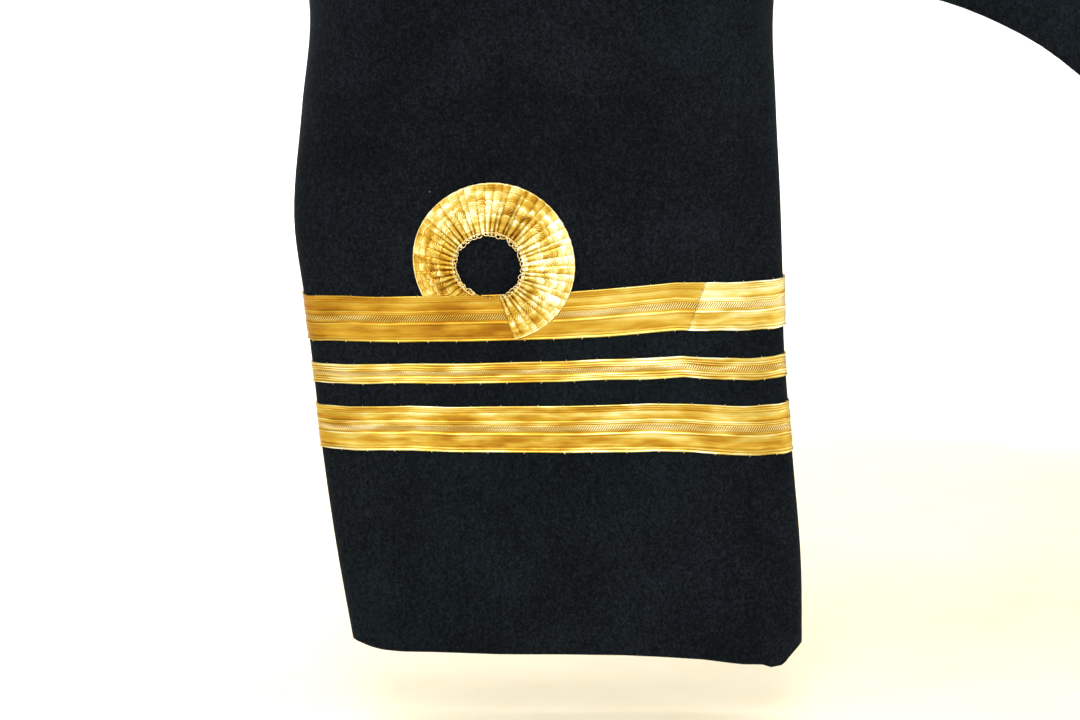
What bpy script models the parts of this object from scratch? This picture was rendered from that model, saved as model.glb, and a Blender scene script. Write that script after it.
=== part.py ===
"""A naval officer's mess jacket, filled out as if worn, with its sleeves hanging empty and flat.

Metres, +Z up. The front faces -Y, so the wearer's right sleeve is at -X. The origin is in the middle of
the neck opening, level with the neck ends of the shoulder seams, where a wearer carries the jacket.
"""

import math
from bisect import bisect_right
from collections import namedtuple

import bmesh
import bpy
from mathutils import Matrix, Vector

# Cloth and seams
CLOTH_WALL = 0.0020
LACE_WALL = 0.0010
SEAM_GAP = 0.0003
LACE_GAP = 0.00036
CURL_GAP = 0.00045
RIGHT, LEFT = -1, 1

# Body: sections of the filled-out cloth, from below the hem up to the bottom of the armhole
Section = namedtuple("Section", "height half_width front_depth back_depth")
BODY = [
    Section(-0.580, 0.170, 0.129, 0.099),
    Section(-0.460, 0.169, 0.125, 0.098),
    Section(-0.400, 0.172, 0.127, 0.102),
    Section(-0.320, 0.184, 0.135, 0.117),
    Section(-0.245, 0.196, 0.141, 0.130),
]
BODY_ROUNDNESS = 2.4
ARMHOLE_BOTTOM = BODY[-1].height
SHOULDER_HALF_WIDTH = 0.215
NECK_HALF_WIDTH = 0.078
SHOULDER_SLOPE = 0.44
NAPE_DEPTH = 0.018
FRONT_SCOOP = math.radians(30)
BACK_SCOOP = math.radians(25)
SCOOP_CURVE = 0.8
NECKLINE_CURVE = 2.2
NECK_CENTRE = Vector((0, 0.012, 0.04))

# Hem: how far it drops below the side seam, by share of the way to the front edge or to the centre back
SIDE_HEM = -0.462
HemPoint = namedtuple("HemPoint", "share drop")
FRONT_HEM = [
    HemPoint(0.00, 0.0000),
    HemPoint(0.25, 0.0010),
    HemPoint(0.45, 0.0056),
    HemPoint(0.60, 0.0163),
    HemPoint(0.70, 0.0293),
    HemPoint(0.85, 0.0580),
    HemPoint(1.00, 0.0940),
]
BACK_HEM_DROP = 0.016
BACK_HEM_CURVE = 1.6

# Front edge and roll line of the lapel: distance from the centre line at a height
EdgePoint = namedtuple("EdgePoint", "height centre_distance")
FRONT_EDGE = [
    EdgePoint(-0.560, 0.029),
    EdgePoint(-0.400, 0.050),
    EdgePoint(-0.245, 0.064),
    EdgePoint(-0.100, 0.074),
    EdgePoint(0.020, NECK_HALF_WIDTH),
]

# Lapel: outline as seen from the front, and the lift of its cloth off the front
LAPEL_BREAK = -0.400
LAPEL_TOP = -0.065
LapelPoint = namedtuple("LapelPoint", "share x height")
LAPEL_EDGE = [
    LapelPoint(0.00, 0.0520, -0.398),
    LapelPoint(0.20, 0.0860, -0.330),
    LapelPoint(0.42, 0.1150, -0.250),
    LapelPoint(0.64, 0.1360, -0.170),
    LapelPoint(0.85, 0.1490, -0.100),
    LapelPoint(1.00, 0.1540, -0.066),
]
GorgePoint = namedtuple("GorgePoint", "share drop")
GORGE = [
    GorgePoint(0.00, 0.0000),
    GorgePoint(0.30, 0.0115),
    GorgePoint(0.58, 0.0205),
    GorgePoint(1.00, 0.0000),
]
FoldPoint = namedtuple("FoldPoint", "outward lift")
LAPEL_FOLD = [
    FoldPoint(-0.0025, -0.0018),
    FoldPoint(-0.0027, 0.0004),
    FoldPoint(-0.0019, 0.0028),
    FoldPoint(0.0004, 0.0044),
]
LAPEL_LIFT_AT_ROLL = 0.0046
LAPEL_LIFT_AT_EDGE = 0.0027
LAPEL_ROLL_WIDTH = 0.004
LAPEL_FIRST_ROW = 0.012

# Collar: height of its stand and the place of its lower edge on the cloth, from the gorge to the nape
CollarStation = namedtuple("CollarStation", "share stand fall_x fall_arch")
COLLAR = [
    CollarStation(0.00, 0.0035, 0.1220, 0.700),
    CollarStation(0.20, 0.0060, 0.1240, 0.810),
    CollarStation(0.45, 0.0160, 0.1200, 1.000),
    CollarStation(0.62, 0.0235, 0.1010, 1.190),
    CollarStation(0.80, 0.0290, 0.0600, 1.350),
    CollarStation(1.00, 0.0320, 0.0000, 1.440),
]
COLLAR_FOLD_WIDTH = 0.0048
COLLAR_CLEARANCE = 0.0009
COLLAR_DRAPE = 1.3
GORGE_SHARE = 0.2
NECK_POINT_SHARE = 0.45
COLLAR_EDGE_LIFT = 0.0034

# Sleeve head: rings that fan from the armhole to the level top of the hanging sleeve
HeadRing = namedtuple("HeadRing", "inner_x inner_z outer_x outer_z half_depth")
SLEEVE_HEAD = [
    HeadRing(0.2005, -0.2440, 0.2275, -0.0645, 0.0690),
    HeadRing(0.2040, -0.2470, 0.2415, -0.0785, 0.0735),
    HeadRing(0.2060, -0.2520, 0.2530, -0.1060, 0.0785),
    HeadRing(0.2075, -0.2590, 0.2600, -0.1500, 0.0830),
    HeadRing(0.2090, -0.2690, 0.2640, -0.2050, 0.0865),
    HeadRing(0.2105, -0.2820, 0.2658, -0.2570, 0.0885),
]
HEAD_ROUNDNESS = 2.1

# Hanging sleeve, up from the cuff. Turn is how far its outer face turns from the side to the front,
# tilt is how much higher the front edge of a section is than the back edge.
CUFF_HEIGHT = -0.6635
SleeveSection = namedtuple("SleeveSection", "up shift half_width half_thickness turn tilt roundness")
SLEEVE = [
    SleeveSection(0.000, 0.0069, 0.0682, 0.0120, 45, -0.0066, 2.9),
    SleeveSection(0.030, 0.0057, 0.0699, 0.0108, 45, -0.0040, 3.0),
    SleeveSection(0.060, 0.0036, 0.0703, 0.0105, 45, 0.0000, 3.0),
    SleeveSection(0.090, 0.0014, 0.0708, 0.0115, 45, 0.0044, 2.9),
    SleeveSection(0.110, 0.0008, 0.0715, 0.0135, 45, 0.0066, 2.8),
    SleeveSection(0.135, -0.0001, 0.0723, 0.0170, 45, 0.0056, 2.6),
    SleeveSection(0.165, 0.0013, 0.0703, 0.0235, 44, 0.0020, 2.4),
    SleeveSection(0.195, 0.0031, 0.0685, 0.0280, 42, 0.0000, 2.3),
    SleeveSection(0.235, 0.0025, 0.0750, 0.0300, 32, 0.0000, 2.2),
    SleeveSection(0.275, 0.0015, 0.0815, 0.0300, 20, 0.0000, 2.2),
    SleeveSection(0.315, 0.0005, 0.0862, 0.0290, 9, 0.0000, 2.1),
    SleeveSection(0.3635, 0.0000, 0.0890, 0.0275, 0, 0.0000, 2.1),
]
SLEEVE_AXIS_X = 0.2385
CUFF_FORWARD = 0.016
CUFF_FORWARD_CURVE = 1.2
ARMHOLE_INSET = 0.00054
ARMHOLE_LIFT = 0.00036
SLEEVE_COLUMNS = 20
FRONT_SEAM_COLUMN = -1
BACK_SEAM_COLUMN = 11

# Rank lace: half an inch and a sixteenth wide, a quarter inch for the half stripe, and quarter-inch gaps
WIDE_LACE = 0.0143
NARROW_LACE = 0.0064
Stripe = namedtuple("Stripe", "name low width sag")
STRIPES = [
    Stripe("lace_lower_wide", 0.0621, WIDE_LACE, 0.0004),
    Stripe("lace_middle_narrow", 0.0836, NARROW_LACE, 0.0005),
    Stripe("lace_upper_wide", 0.0972, WIDE_LACE, 0.0012),
]

# Curl of gathered lace above the upper stripe: places on the outer face, across from its middle and up
CURL_ACROSS, CURL_UP, CURL_RADIUS = -0.0138, 0.1204, 0.0235
HOLE_ACROSS, HOLE_UP, HOLE_RADIUS = -0.0147, 0.1192, 0.0091
CURL_HALF_SLEEVE = 0.072
CURL_START = math.radians(-80)
CURL_END = math.radians(235)
CURL_PLEATS = 38
CURL_PLEAT_HEIGHT = 0.0005
CURL_OVER_LACE_UNTIL = math.radians(-12)
CURL_ON_CLOTH_FROM = math.radians(22)

# Gilt buttons, three each side, in rows that close towards the waist
BUTTON_RADIUS = 0.0110
BUTTON_SIDES = 20
ButtonRing = namedtuple("ButtonRing", "radius_share height")
BUTTON_PROFILE = [
    ButtonRing(0.00, SEAM_GAP),
    ButtonRing(0.22, SEAM_GAP),
    ButtonRing(0.22, 0.0014),
    ButtonRing(0.92, 0.0014),
    ButtonRing(1.00, 0.0022),
    ButtonRing(0.97, 0.0033),
    ButtonRing(0.86, 0.0034),
    ButtonRing(0.80, 0.0030),
    ButtonRing(0.45, 0.0049),
    ButtonRing(0.00, 0.0056),
]
ButtonPlace = namedtuple("ButtonPlace", "name x height")
BUTTONS = [
    ButtonPlace("top", 0.0800, -0.408),
    ButtonPlace("middle", 0.0720, -0.450),
    ButtonPlace("bottom", 0.0640, -0.492),
]

# Mesh fineness
FRONT_COLUMNS = 8
NECK_COLUMNS = 6
BODY_ROWS = 8
ARMHOLE_ROWS = SLEEVE_COLUMNS // 2
LAPEL_ROWS = 12
LAPEL_SHARES = (0.20, 0.40, 0.58, 0.72, 0.86, 1.00)
COLLAR_FRONT_STATIONS = 6
COLLAR_FALL_COLUMNS = 5
PLAIN_SLEEVE_ROWS = (
    *(0.0, 0.010, 0.034, 0.121, 0.131, 0.143, 0.158),
    *(0.178, 0.208, 0.242, 0.276, 0.310, 0.338),
)
CURL_RING_SHARES = (0.0, 0.33, 0.7, 1.0)
NECK_ANGLE_AT_CHEST = math.radians(17)
# How far inside a surface's limits its normal is measured
ANGLE_MARGIN = 0.002
ARCH_MARGIN = 0.005
WIDTH_MARGIN = 0.0005


def blend(a, b, share):
    return a + (b - a) * share


def smooth_through(table, key, value, at):
    """The named value at a key, on a smooth curve through the rows of a table sorted by that key."""
    keys = [getattr(row, key) for row in table]
    values = [getattr(row, value) for row in table]
    last = len(keys) - 1
    i = min(max(bisect_right(keys, at) - 1, 0), last - 1)

    def slope(k):
        low, high = max(k - 1, 0), min(k + 1, last)
        return (values[high] - values[low]) / (keys[high] - keys[low])

    span = keys[i + 1] - keys[i]
    t = min(max((at - keys[i]) / span, 0.0), 1.0)
    return (
        values[i] * (2 * t**3 - 3 * t**2 + 1)
        + slope(i) * span * (t**3 - 2 * t**2 + t)
        + values[i + 1] * (3 * t**2 - 2 * t**3)
        + slope(i + 1) * span * (t**3 - t**2)
    )


def rounded(value, roundness):
    """A sine or cosine bent so that a circle becomes a squarer oval."""
    return math.copysign(abs(value) ** (2 / roundness), value)


# The body as one smooth surface


def body_ring(side, angle, height):
    """Below the armhole: angle 0 is the centre front, a right angle the side, pi the centre back."""
    depth = "front_depth" if math.cos(angle) > 0 else "back_depth"
    half_width = smooth_through(BODY, "height", "half_width", height)
    half_depth = smooth_through(BODY, "height", depth, height)
    return Vector(
        (
            side * half_width * rounded(math.sin(angle), BODY_ROUNDNESS),
            -half_depth * rounded(math.cos(angle), BODY_ROUNDNESS),
            height,
        )
    )


def shoulder_line(x):
    return -(abs(x) - NECK_HALF_WIDTH) * SHOULDER_SLOPE


def body_arch(side, x, arch):
    """Above the armhole's bottom: arch 0 is chest level, 1 the shoulder line, 2 back level."""
    chest = BODY[-1]
    rise = math.sin(arch * math.pi / 2)
    half_width = blend(chest.half_width, SHOULDER_HALF_WIDTH, min(arch, 2 - arch))
    depth = chest.front_depth if arch < 1 else chest.back_depth
    across = min(max(abs(x) / half_width, 0.0), 1.0)
    sine = across ** (BODY_ROUNDNESS / 2)
    cosine = rounded(math.sqrt(max(1 - sine * sine, 0.0)), BODY_ROUNDNESS)
    height = chest.height + (shoulder_line(x) - chest.height) * rise
    return Vector((side * x, -depth * math.cos(arch * math.pi / 2) * cosine, height))


def arch_x(angle, arch):
    half_width = blend(BODY[-1].half_width, SHOULDER_HALF_WIDTH, min(arch, 2 - arch))
    return half_width * rounded(math.sin(angle), BODY_ROUNDNESS)


def arch_angle(x, arch):
    half_width = blend(BODY[-1].half_width, SHOULDER_HALF_WIDTH, min(arch, 2 - arch))
    return math.asin(min(x / half_width, 1.0) ** (BODY_ROUNDNESS / 2))


def arch_at_height(x, height):
    """The arch value on the front where the cloth at that distance from the centre has that height."""
    rise = (height - ARMHOLE_BOTTOM) / (shoulder_line(x) - ARMHOLE_BOTTOM)
    return math.asin(min(max(rise, 0.0), 1.0)) * 2 / math.pi


def front_at(side, x, height):
    """The front's outer surface, by distance from the centre line and height."""
    if height >= ARMHOLE_BOTTOM:
        return body_arch(side, x, arch_at_height(x, height))
    half_width = smooth_through(BODY, "height", "half_width", height)
    angle = math.asin(min(x / half_width, 1.0) ** (BODY_ROUNDNESS / 2))
    return body_ring(side, angle, height)


def normal_of(surface, a, b, outward, step=1e-4):
    """Unit normal of a surface of two values, on the side that faces the outward hint."""
    along_a = surface(a + step, b) - surface(a - step, b)
    along_b = surface(a, b + step) - surface(a, b - step)
    normal = along_a.cross(along_b).normalized()
    return normal if normal.dot(outward) > 0 else -normal


def from_axis(point):
    """A rough outward direction, away from the middle of the chest."""
    return Vector((point.x, point.y, max(point.z + 0.2, 0.0) * 0.5 + 1e-6))


def front_normal(side, x, height):
    nearest = max(x, WIDTH_MARGIN)
    point = front_at(side, nearest, height)
    return normal_of(lambda a, b: front_at(side, a, b), nearest, height, from_axis(point), 5e-4)


def arch_normal(side, x, arch):
    nearest = min(max(x, WIDTH_MARGIN), SHOULDER_HALF_WIDTH - WIDTH_MARGIN)
    inside = min(max(arch, ARCH_MARGIN), 2 - ARCH_MARGIN)
    point = body_arch(side, nearest, inside)
    return normal_of(lambda a, b: body_arch(side, a, b), nearest, inside, from_axis(point), 1e-3)


# Walls made from a grid of outer points


def grid_normals(grid, outward):
    """Unit normals of a grid of points, on the side that the outward function points to."""
    rows, columns = len(grid), len(grid[0])
    normals = []
    for i in range(rows):
        line = []
        for j in range(columns):
            along = grid[min(i + 1, rows - 1)][j] - grid[max(i - 1, 0)][j]
            across = grid[i][min(j + 1, columns - 1)] - grid[i][max(j - 1, 0)]
            normal = along.cross(across).normalized()
            line.append(normal if normal.dot(outward(i, j)) > 0 else -normal)
        normals.append(line)
    return normals


def pull_edge_in(grid, edge, distance):
    """Moves one edge of a grid towards its neighbouring line, to leave room at a seam."""
    rows, columns = len(grid), len(grid[0])
    ends = {
        "first_row": [((0, j), (1, j)) for j in range(columns)],
        "last_row": [((rows - 1, j), (rows - 2, j)) for j in range(columns)],
        "first_column": [((i, 0), (i, 1)) for i in range(rows)],
        "last_column": [((i, columns - 1), (i, columns - 2)) for i in range(rows)],
    }
    for (i, j), (k, m) in ends[edge]:
        step = grid[k][m] - grid[i][j]
        if step.length > 1e-9:
            grid[i][j] = grid[i][j] + step.normalized() * distance


def new_object(name, bm, material):
    bmesh.ops.recalc_face_normals(bm, faces=bm.faces)
    mesh = bpy.data.meshes.new(name)
    bm.to_mesh(mesh)
    bm.free()
    mesh.materials.append(material)
    mesh.shade_smooth()
    mesh.set_sharp_from_angle(angle=math.radians(40))
    obj = bpy.data.objects.new(name, mesh)
    bpy.context.scene.collection.objects.link(obj)
    return obj


def wall(name, outer, normals, thickness, material, ring=False):
    """A closed wall: the grid of outer points, the same points moved in, and rims along the free edges."""
    bm = bmesh.new()
    skins = []
    for depth in (0.0, thickness):
        skins.append(
            [
                [bm.verts.new(p - n * depth) for p, n in zip(points, line)]
                for points, line in zip(outer, normals)
            ]
        )
    rows, columns = len(outer), len(outer[0])
    spans = columns if ring else columns - 1
    for skin in skins:
        for i in range(rows - 1):
            for j in range(spans):
                k = (j + 1) % columns
                bm.faces.new((skin[i][j], skin[i + 1][j], skin[i + 1][k], skin[i][k]))
    front, back = skins
    for i in (0, rows - 1):
        for j in range(spans):
            k = (j + 1) % columns
            bm.faces.new((front[i][j], front[i][k], back[i][k], back[i][j]))
    if not ring:
        for j in (0, columns - 1):
            for i in range(rows - 1):
                bm.faces.new((front[i][j], front[i + 1][j], back[i + 1][j], back[i][j]))
    return new_object(name, bm, material)


def cloth_material(name, colour, roughness, metallic=0.0):
    material = bpy.data.materials.new(name)
    material.use_nodes = True
    shader = material.node_tree.nodes["Principled BSDF"]
    shader.inputs["Base Color"].default_value = (*colour, 1)
    shader.inputs["Roughness"].default_value = roughness
    shader.inputs["Metallic"].default_value = metallic
    return material


# Fronts and backs


def armhole_shares():
    """Height shares of the rows beside the armhole, which the sleeve's columns meet."""
    return [
        (1 + math.sin(math.pi * (i / ARMHOLE_ROWS - 0.5))) / 2 for i in range(ARMHOLE_ROWS + 1)
    ]


def armhole_angle(rise, scoop):
    """The body angle of the armhole's edge at a share of its height."""
    return math.pi / 2 - scoop * math.sin(math.pi * rise**SCOOP_CURVE) ** SCOOP_CURVE


def armhole_point(side, rise, front):
    half_arch = math.asin(min(rise, 1.0)) * 2 / math.pi
    arch = half_arch if front else 2 - half_arch
    angle = armhole_angle(rise, FRONT_SCOOP if front else BACK_SCOOP)
    return body_arch(side, arch_x(angle, arch), arch)


def ring_normal(side, angle, height):
    point = body_ring(side, angle, height)
    return normal_of(
        lambda a, b: body_ring(side, a, b), angle, height, Vector((point.x, point.y, 0)), 1e-3
    )


def finish_seams(outer, normals, first_shoulder_column, way):
    """Leaves half a seam gap at the side seam and the shoulder seam, both of which lie at y = 0."""
    columns = len(outer[0])
    seam = [(i, columns - 1) for i in range(BODY_ROWS + 1)]
    seam += [(len(outer) - 1, j) for j in range(first_shoulder_column, columns)]
    for i, j in seam:
        outer[i][j].y = way * SEAM_GAP / 2
        normals[i][j] = Vector((normals[i][j].x, 0, normals[i][j].z)).normalized()


def front_edge_x(height):
    return smooth_through(FRONT_EDGE, "height", "centre_distance", height)


def make_front(side, name, material):
    outer, normals = [], []
    shares = [j / FRONT_COLUMNS for j in range(FRONT_COLUMNS + 1)]
    for i in range(BODY_ROWS):
        points, line = [], []
        for share in shares:
            hem = SIDE_HEM - smooth_through(FRONT_HEM, "share", "drop", 1 - share)
            height = blend(hem, ARMHOLE_BOTTOM, i / BODY_ROWS)
            half_width = smooth_through(BODY, "height", "half_width", height)
            edge = math.asin((front_edge_x(height) / half_width) ** (BODY_ROUNDNESS / 2))
            angle = blend(edge, math.pi / 2, share)
            points.append(body_ring(side, angle, height))
            line.append(ring_normal(side, min(angle, math.pi / 2 - ANGLE_MARGIN), height))
        outer.append(points)
        normals.append(line)
    for rise in armhole_shares():
        arch = math.asin(rise) * 2 / math.pi
        edge = arch_angle(front_edge_x(ARMHOLE_BOTTOM * (1 - rise)), arch)
        angles = [blend(edge, armhole_angle(rise, FRONT_SCOOP), share) for share in shares]
        xs = [arch_x(angle, arch) for angle in angles]
        outer.append([body_arch(side, x, arch) for x in xs])
        normals.append([arch_normal(side, x, min(arch, 1 - ARCH_MARGIN)) for x in xs])
    finish_seams(outer, normals, 0, -1)
    return wall(name, outer, normals, CLOTH_WALL, material)


def neck_x(share):
    """Distance from the centre of a point on the back neckline, by share of the way round from the nape."""
    return NECK_HALF_WIDTH * math.sin(share * math.pi / 2)


def neckline_arch(x):
    """The arch value of the back neckline: low at the nape, up to the shoulder seam at the neck point."""
    share = min(x / NECK_HALF_WIDTH, 1.0)
    height = -NAPE_DEPTH * (1 - share**NECKLINE_CURVE)
    rise = (height - ARMHOLE_BOTTOM) / (shoulder_line(min(x, NECK_HALF_WIDTH)) - ARMHOLE_BOTTOM)
    return 2 - math.asin(min(rise, 1.0)) * 2 / math.pi


def back_xs(rise, arch):
    """Distances from the centre of the back's columns: to the neck point, then to the armhole."""
    neck = blend(NECK_ANGLE_AT_CHEST, arch_angle(NECK_HALF_WIDTH, 1.0), rise)
    outermost = armhole_angle(rise, BACK_SCOOP)
    inner = [neck_x(j / NECK_COLUMNS) / NECK_HALF_WIDTH for j in range(NECK_COLUMNS)]
    angles = [blend(neck, outermost, j / FRONT_COLUMNS) for j in range(FRONT_COLUMNS + 1)]
    return [share * arch_x(neck, arch) for share in inner] + [arch_x(a, arch) for a in angles]


def make_back(side, name, material):
    outer, normals = [], []
    columns = NECK_COLUMNS + FRONT_COLUMNS + 1
    chest_xs = back_xs(0.0, 2.0)
    for i in range(BODY_ROWS):
        points, line = [], []
        for x in chest_xs:
            angle_out = arch_angle(x, 2.0)
            hem = SIDE_HEM - BACK_HEM_DROP * (1 - angle_out / (math.pi / 2)) ** BACK_HEM_CURVE
            height = blend(hem, ARMHOLE_BOTTOM, i / BODY_ROWS)
            angle = math.pi - angle_out
            points.append(body_ring(side, angle, height))
            inside = min(max(angle, math.pi / 2 + ANGLE_MARGIN), math.pi - ANGLE_MARGIN)
            line.append(ring_normal(side, inside, height))
        outer.append(points)
        normals.append(line)
    for rise in armhole_shares():
        row_arch = 2 - math.asin(rise) * 2 / math.pi
        points, line = [], []
        for j, x in enumerate(back_xs(rise, row_arch)):
            arch = row_arch
            if j < NECK_COLUMNS:
                lowest = neckline_arch(neck_x(j / NECK_COLUMNS))
                arch = 2 - (2 - row_arch) * (2 - lowest)
            points.append(body_arch(side, x, arch))
            line.append(arch_normal(side, x, max(arch, 1 + ARCH_MARGIN)))
        outer.append(points)
        normals.append(line)
    for points, line in zip(outer, normals):
        line[0] = Vector((0, line[0].y, line[0].z)).normalized()
        points[0] = points[0] + Vector((side * SEAM_GAP / 2, 0, 0))
    finish_seams(outer, normals, NECK_COLUMNS, 1)
    return wall(name, outer, normals, CLOTH_WALL, material)


# Lapels and collar


def lapel_lift(share):
    return blend(LAPEL_LIFT_AT_ROLL, LAPEL_LIFT_AT_EDGE, share**0.8)


def gorge_drop(share):
    """How far the lapel's top edge lies under the straight line from the roll to the tip."""
    for low, high in zip(GORGE, GORGE[1:]):
        if share <= high.share:
            return blend(low.drop, high.drop, (share - low.share) / (high.share - low.share))
    return GORGE[-1].drop


def lapel_point(side, along, across):
    """A point of the lapel's outer surface: along from the break to the gorge, across from roll to edge."""
    roll_height = blend(LAPEL_BREAK, LAPEL_TOP, along)
    roll_x = front_edge_x(roll_height)
    edge_x = smooth_through(LAPEL_EDGE, "share", "x", along)
    edge_height = smooth_through(LAPEL_EDGE, "share", "height", along)
    x = blend(roll_x, edge_x, across)
    height = blend(roll_height, edge_height, across)
    height -= gorge_drop(across) * along**4
    return front_at(side, x, height) + front_normal(side, x, height) * lapel_lift(across)


def make_lapel(side, name, material):
    outer = []
    for i in range(LAPEL_ROWS + 1):
        along = blend(LAPEL_FIRST_ROW, 1.0, i / LAPEL_ROWS)
        height = blend(LAPEL_BREAK, LAPEL_TOP, along)
        x = front_edge_x(height)
        edge = front_at(side, x, height)
        normal = front_normal(side, x, height)
        outward = (front_at(side, x + 0.002, height) - edge).normalized()
        start = [edge + outward * p.outward + normal * p.lift for p in LAPEL_FOLD]
        width = abs(smooth_through(LAPEL_EDGE, "share", "x", along) - x)
        first = min(0.5, LAPEL_ROLL_WIDTH / width)
        shares = [first] + [max(share, blend(first, 1.0, share)) for share in LAPEL_SHARES]
        rest = [lapel_point(side, along, share) for share in shares]
        outer.append(start + rest)
    hints = [
        front_normal(side, NECK_HALF_WIDTH, blend(LAPEL_BREAK, LAPEL_TOP, i / LAPEL_ROWS))
        for i in range(LAPEL_ROWS + 1)
    ]
    inward = Vector((-side, 0, 0))
    normals = grid_normals(outer, lambda i, j: hints[i] + inward * (2.0 if j < 2 else 0.0))
    pull_edge_in(outer, "last_row", SEAM_GAP)
    return wall(name, outer, normals, CLOTH_WALL, material)


def neckline(share):
    """Distance from the centre and arch value of the neck edge: 0 at the gorge, 1 at the nape."""
    if share < NECK_POINT_SHARE:
        height = blend(LAPEL_TOP + SEAM_GAP * 4, 0.0, share / NECK_POINT_SHARE)
        x = front_edge_x(height)
        return x, arch_at_height(x, height)
    x = neck_x(1 - (share - NECK_POINT_SHARE) / (1 - NECK_POINT_SHARE))
    return x, neckline_arch(x)


def neck_frame(side, share):
    """At the neck edge: its point, the cloth's normal, the way into the opening, and the stand's way up."""
    x, arch = neckline(share)
    edge = body_arch(side, x, arch)
    normal = arch_normal(side, x, arch)
    nearby = [body_arch(side, *neckline(min(max(share + s, 0.0), 1.0))) for s in (-0.01, 0.01)]
    along = (nearby[1] - nearby[0]).normalized()
    inward = along.cross(normal).normalized()
    if inward.dot(NECK_CENTRE - Vector((edge.x, edge.y, 0))) < 0:
        inward = -inward
    up = inward * max(inward.z, 0.0) + normal * max(normal.z, 0.05)
    return edge, normal, inward, up.normalized()


def collar_profile(side, share):
    """Visible points of the collar at one station, and the way each faces: stand, fold, fall."""
    edge, normal, inward, up = neck_frame(side, share)
    cosine, sine = up.dot(inward), up.dot(normal)
    neckward = inward * sine - normal * cosine
    foot = edge + inward * COLLAR_CLEARANCE + neckward * CLOTH_WALL - normal * CLOTH_WALL * sine
    stand = smooth_through(COLLAR, "share", "stand", share)
    fold = COLLAR_FOLD_WIDTH
    points = [
        foot,
        foot + up * stand * 0.5,
        foot + up * (stand - 0.0012),
        foot + up * (stand + 0.0007) - neckward * fold * 0.22,
        foot + up * (stand + 0.0007) - neckward * fold * 0.72,
    ]
    facing = [neckward, neckward, neckward, neckward + up, up - neckward]
    start = foot + up * (stand - 0.0008) - neckward * fold
    x, arch = neckline(share)
    fall_x = smooth_through(COLLAR, "share", "fall_x", share)
    fall_arch = smooth_through(COLLAR, "share", "fall_arch", share)
    near_gorge = max(1 - share / GORGE_SHARE, 0.0)
    for j in range(COLLAR_FALL_COLUMNS + 1):
        w = j / COLLAR_FALL_COLUMNS
        fx = blend(x, fall_x, w)
        on_gorge = arch_at_height(fx, lapel_top_height(fx) + SEAM_GAP * 4)
        fa = blend(blend(arch, fall_arch, w), on_gorge, near_gorge)
        on_cloth = body_arch(side, fx, fa)
        lift = arch_normal(side, fx, fa) * COLLAR_EDGE_LIFT
        away = start - body_arch(side, x, fa if share < GORGE_SHARE else arch) - lift
        points.append(on_cloth + lift + away * (1 - w) ** COLLAR_DRAPE)
        facing.append(normal * 2 - neckward * (1 - w))
    return points, facing


def lapel_top_height(x):
    """Height of the lapel's top edge at a distance from the centre."""
    roll_x = front_edge_x(LAPEL_TOP)
    tip = LAPEL_EDGE[-1]
    share = min(max((x - roll_x) / (tip.x - roll_x), 0.0), 1.0)
    return blend(LAPEL_TOP, tip.height, share) - gorge_drop(share)


def make_collar(name, material):
    shares = [NECK_POINT_SHARE * i / COLLAR_FRONT_STATIONS for i in range(COLLAR_FRONT_STATIONS)]
    shares += [blend(NECK_POINT_SHARE, 1.0, i / NECK_COLUMNS) for i in range(NECK_COLUMNS + 1)]
    right = [collar_profile(RIGHT, share) for share in shares]
    left = [collar_profile(LEFT, share) for share in reversed(shares[:-1])]
    outer = [points for points, _ in right + left]
    facing = [hints for _, hints in right + left]
    for point in outer[len(shares) - 1]:
        point.x = 0.0
    normals = grid_normals(outer, lambda i, j: facing[i][j])
    return wall(name, outer, normals, CLOTH_WALL, material)


# Sleeves


def sleeve_axis(side, up):
    """The middle of the sleeve and its two directions at a height above the cuff."""
    turn = math.radians(smooth_through(SLEEVE, "up", "turn", up))
    front_way = Vector((-side * math.sin(turn), -math.cos(turn), 0))
    face_way = Vector((side * math.cos(turn), -math.sin(turn), 0))
    top = SLEEVE[-1].up
    forward = CUFF_FORWARD * (1 - up / top) ** CUFF_FORWARD_CURVE if up < top else 0.0
    centre = Vector((side * SLEEVE_AXIS_X, -forward, CUFF_HEIGHT + up))
    return centre, front_way, face_way


def oval_point(centre, wide, deep, angle, roundness):
    return (
        centre
        + wide * rounded(math.cos(angle), roundness)
        + deep * rounded(math.sin(angle), roundness)
    )


def sleeve_section(side, up):
    """Middle, half width and half thickness vectors, and roundness of the hanging sleeve."""
    centre, front_way, face_way = sleeve_axis(side, up)
    centre = centre + front_way * smooth_through(SLEEVE, "up", "shift", up)
    wide = front_way * smooth_through(SLEEVE, "up", "half_width", up)
    wide.z = smooth_through(SLEEVE, "up", "tilt", up) / 2
    deep = face_way * smooth_through(SLEEVE, "up", "half_thickness", up)
    return centre, wide, deep, smooth_through(SLEEVE, "up", "roundness", up)


def sleeve_point(side, angle, up):
    """Outer surface of the hanging sleeve: angle 0 is the front edge, a right angle the outer face."""
    centre, wide, deep, roundness = sleeve_section(side, up)
    return oval_point(centre, wide, deep, angle, roundness)


def column_angle(column):
    return 2 * math.pi * column / SLEEVE_COLUMNS


def armhole_ring(side):
    """The sleeve's first ring: the armhole's edge moved just into the hole and just off the body."""
    ring = []
    middle = (armhole_point(side, 0.45, True) + armhole_point(side, 0.45, False)) / 2
    for column in range(SLEEVE_COLUMNS):
        angle = column_angle(column)
        rise = (1 + math.sin(angle)) / 2
        front = math.cos(angle) > 0
        point = armhole_point(side, rise, front)
        half_arch = math.asin(min(rise, 1.0)) * 2 / math.pi
        normal = arch_normal(side, abs(point.x), half_arch if front else 2 - half_arch)
        inward = middle - point
        inward = (inward - normal * inward.dot(normal)).normalized()
        ring.append(point + inward * ARMHOLE_INSET + normal * ARMHOLE_LIFT)
    return ring


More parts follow.
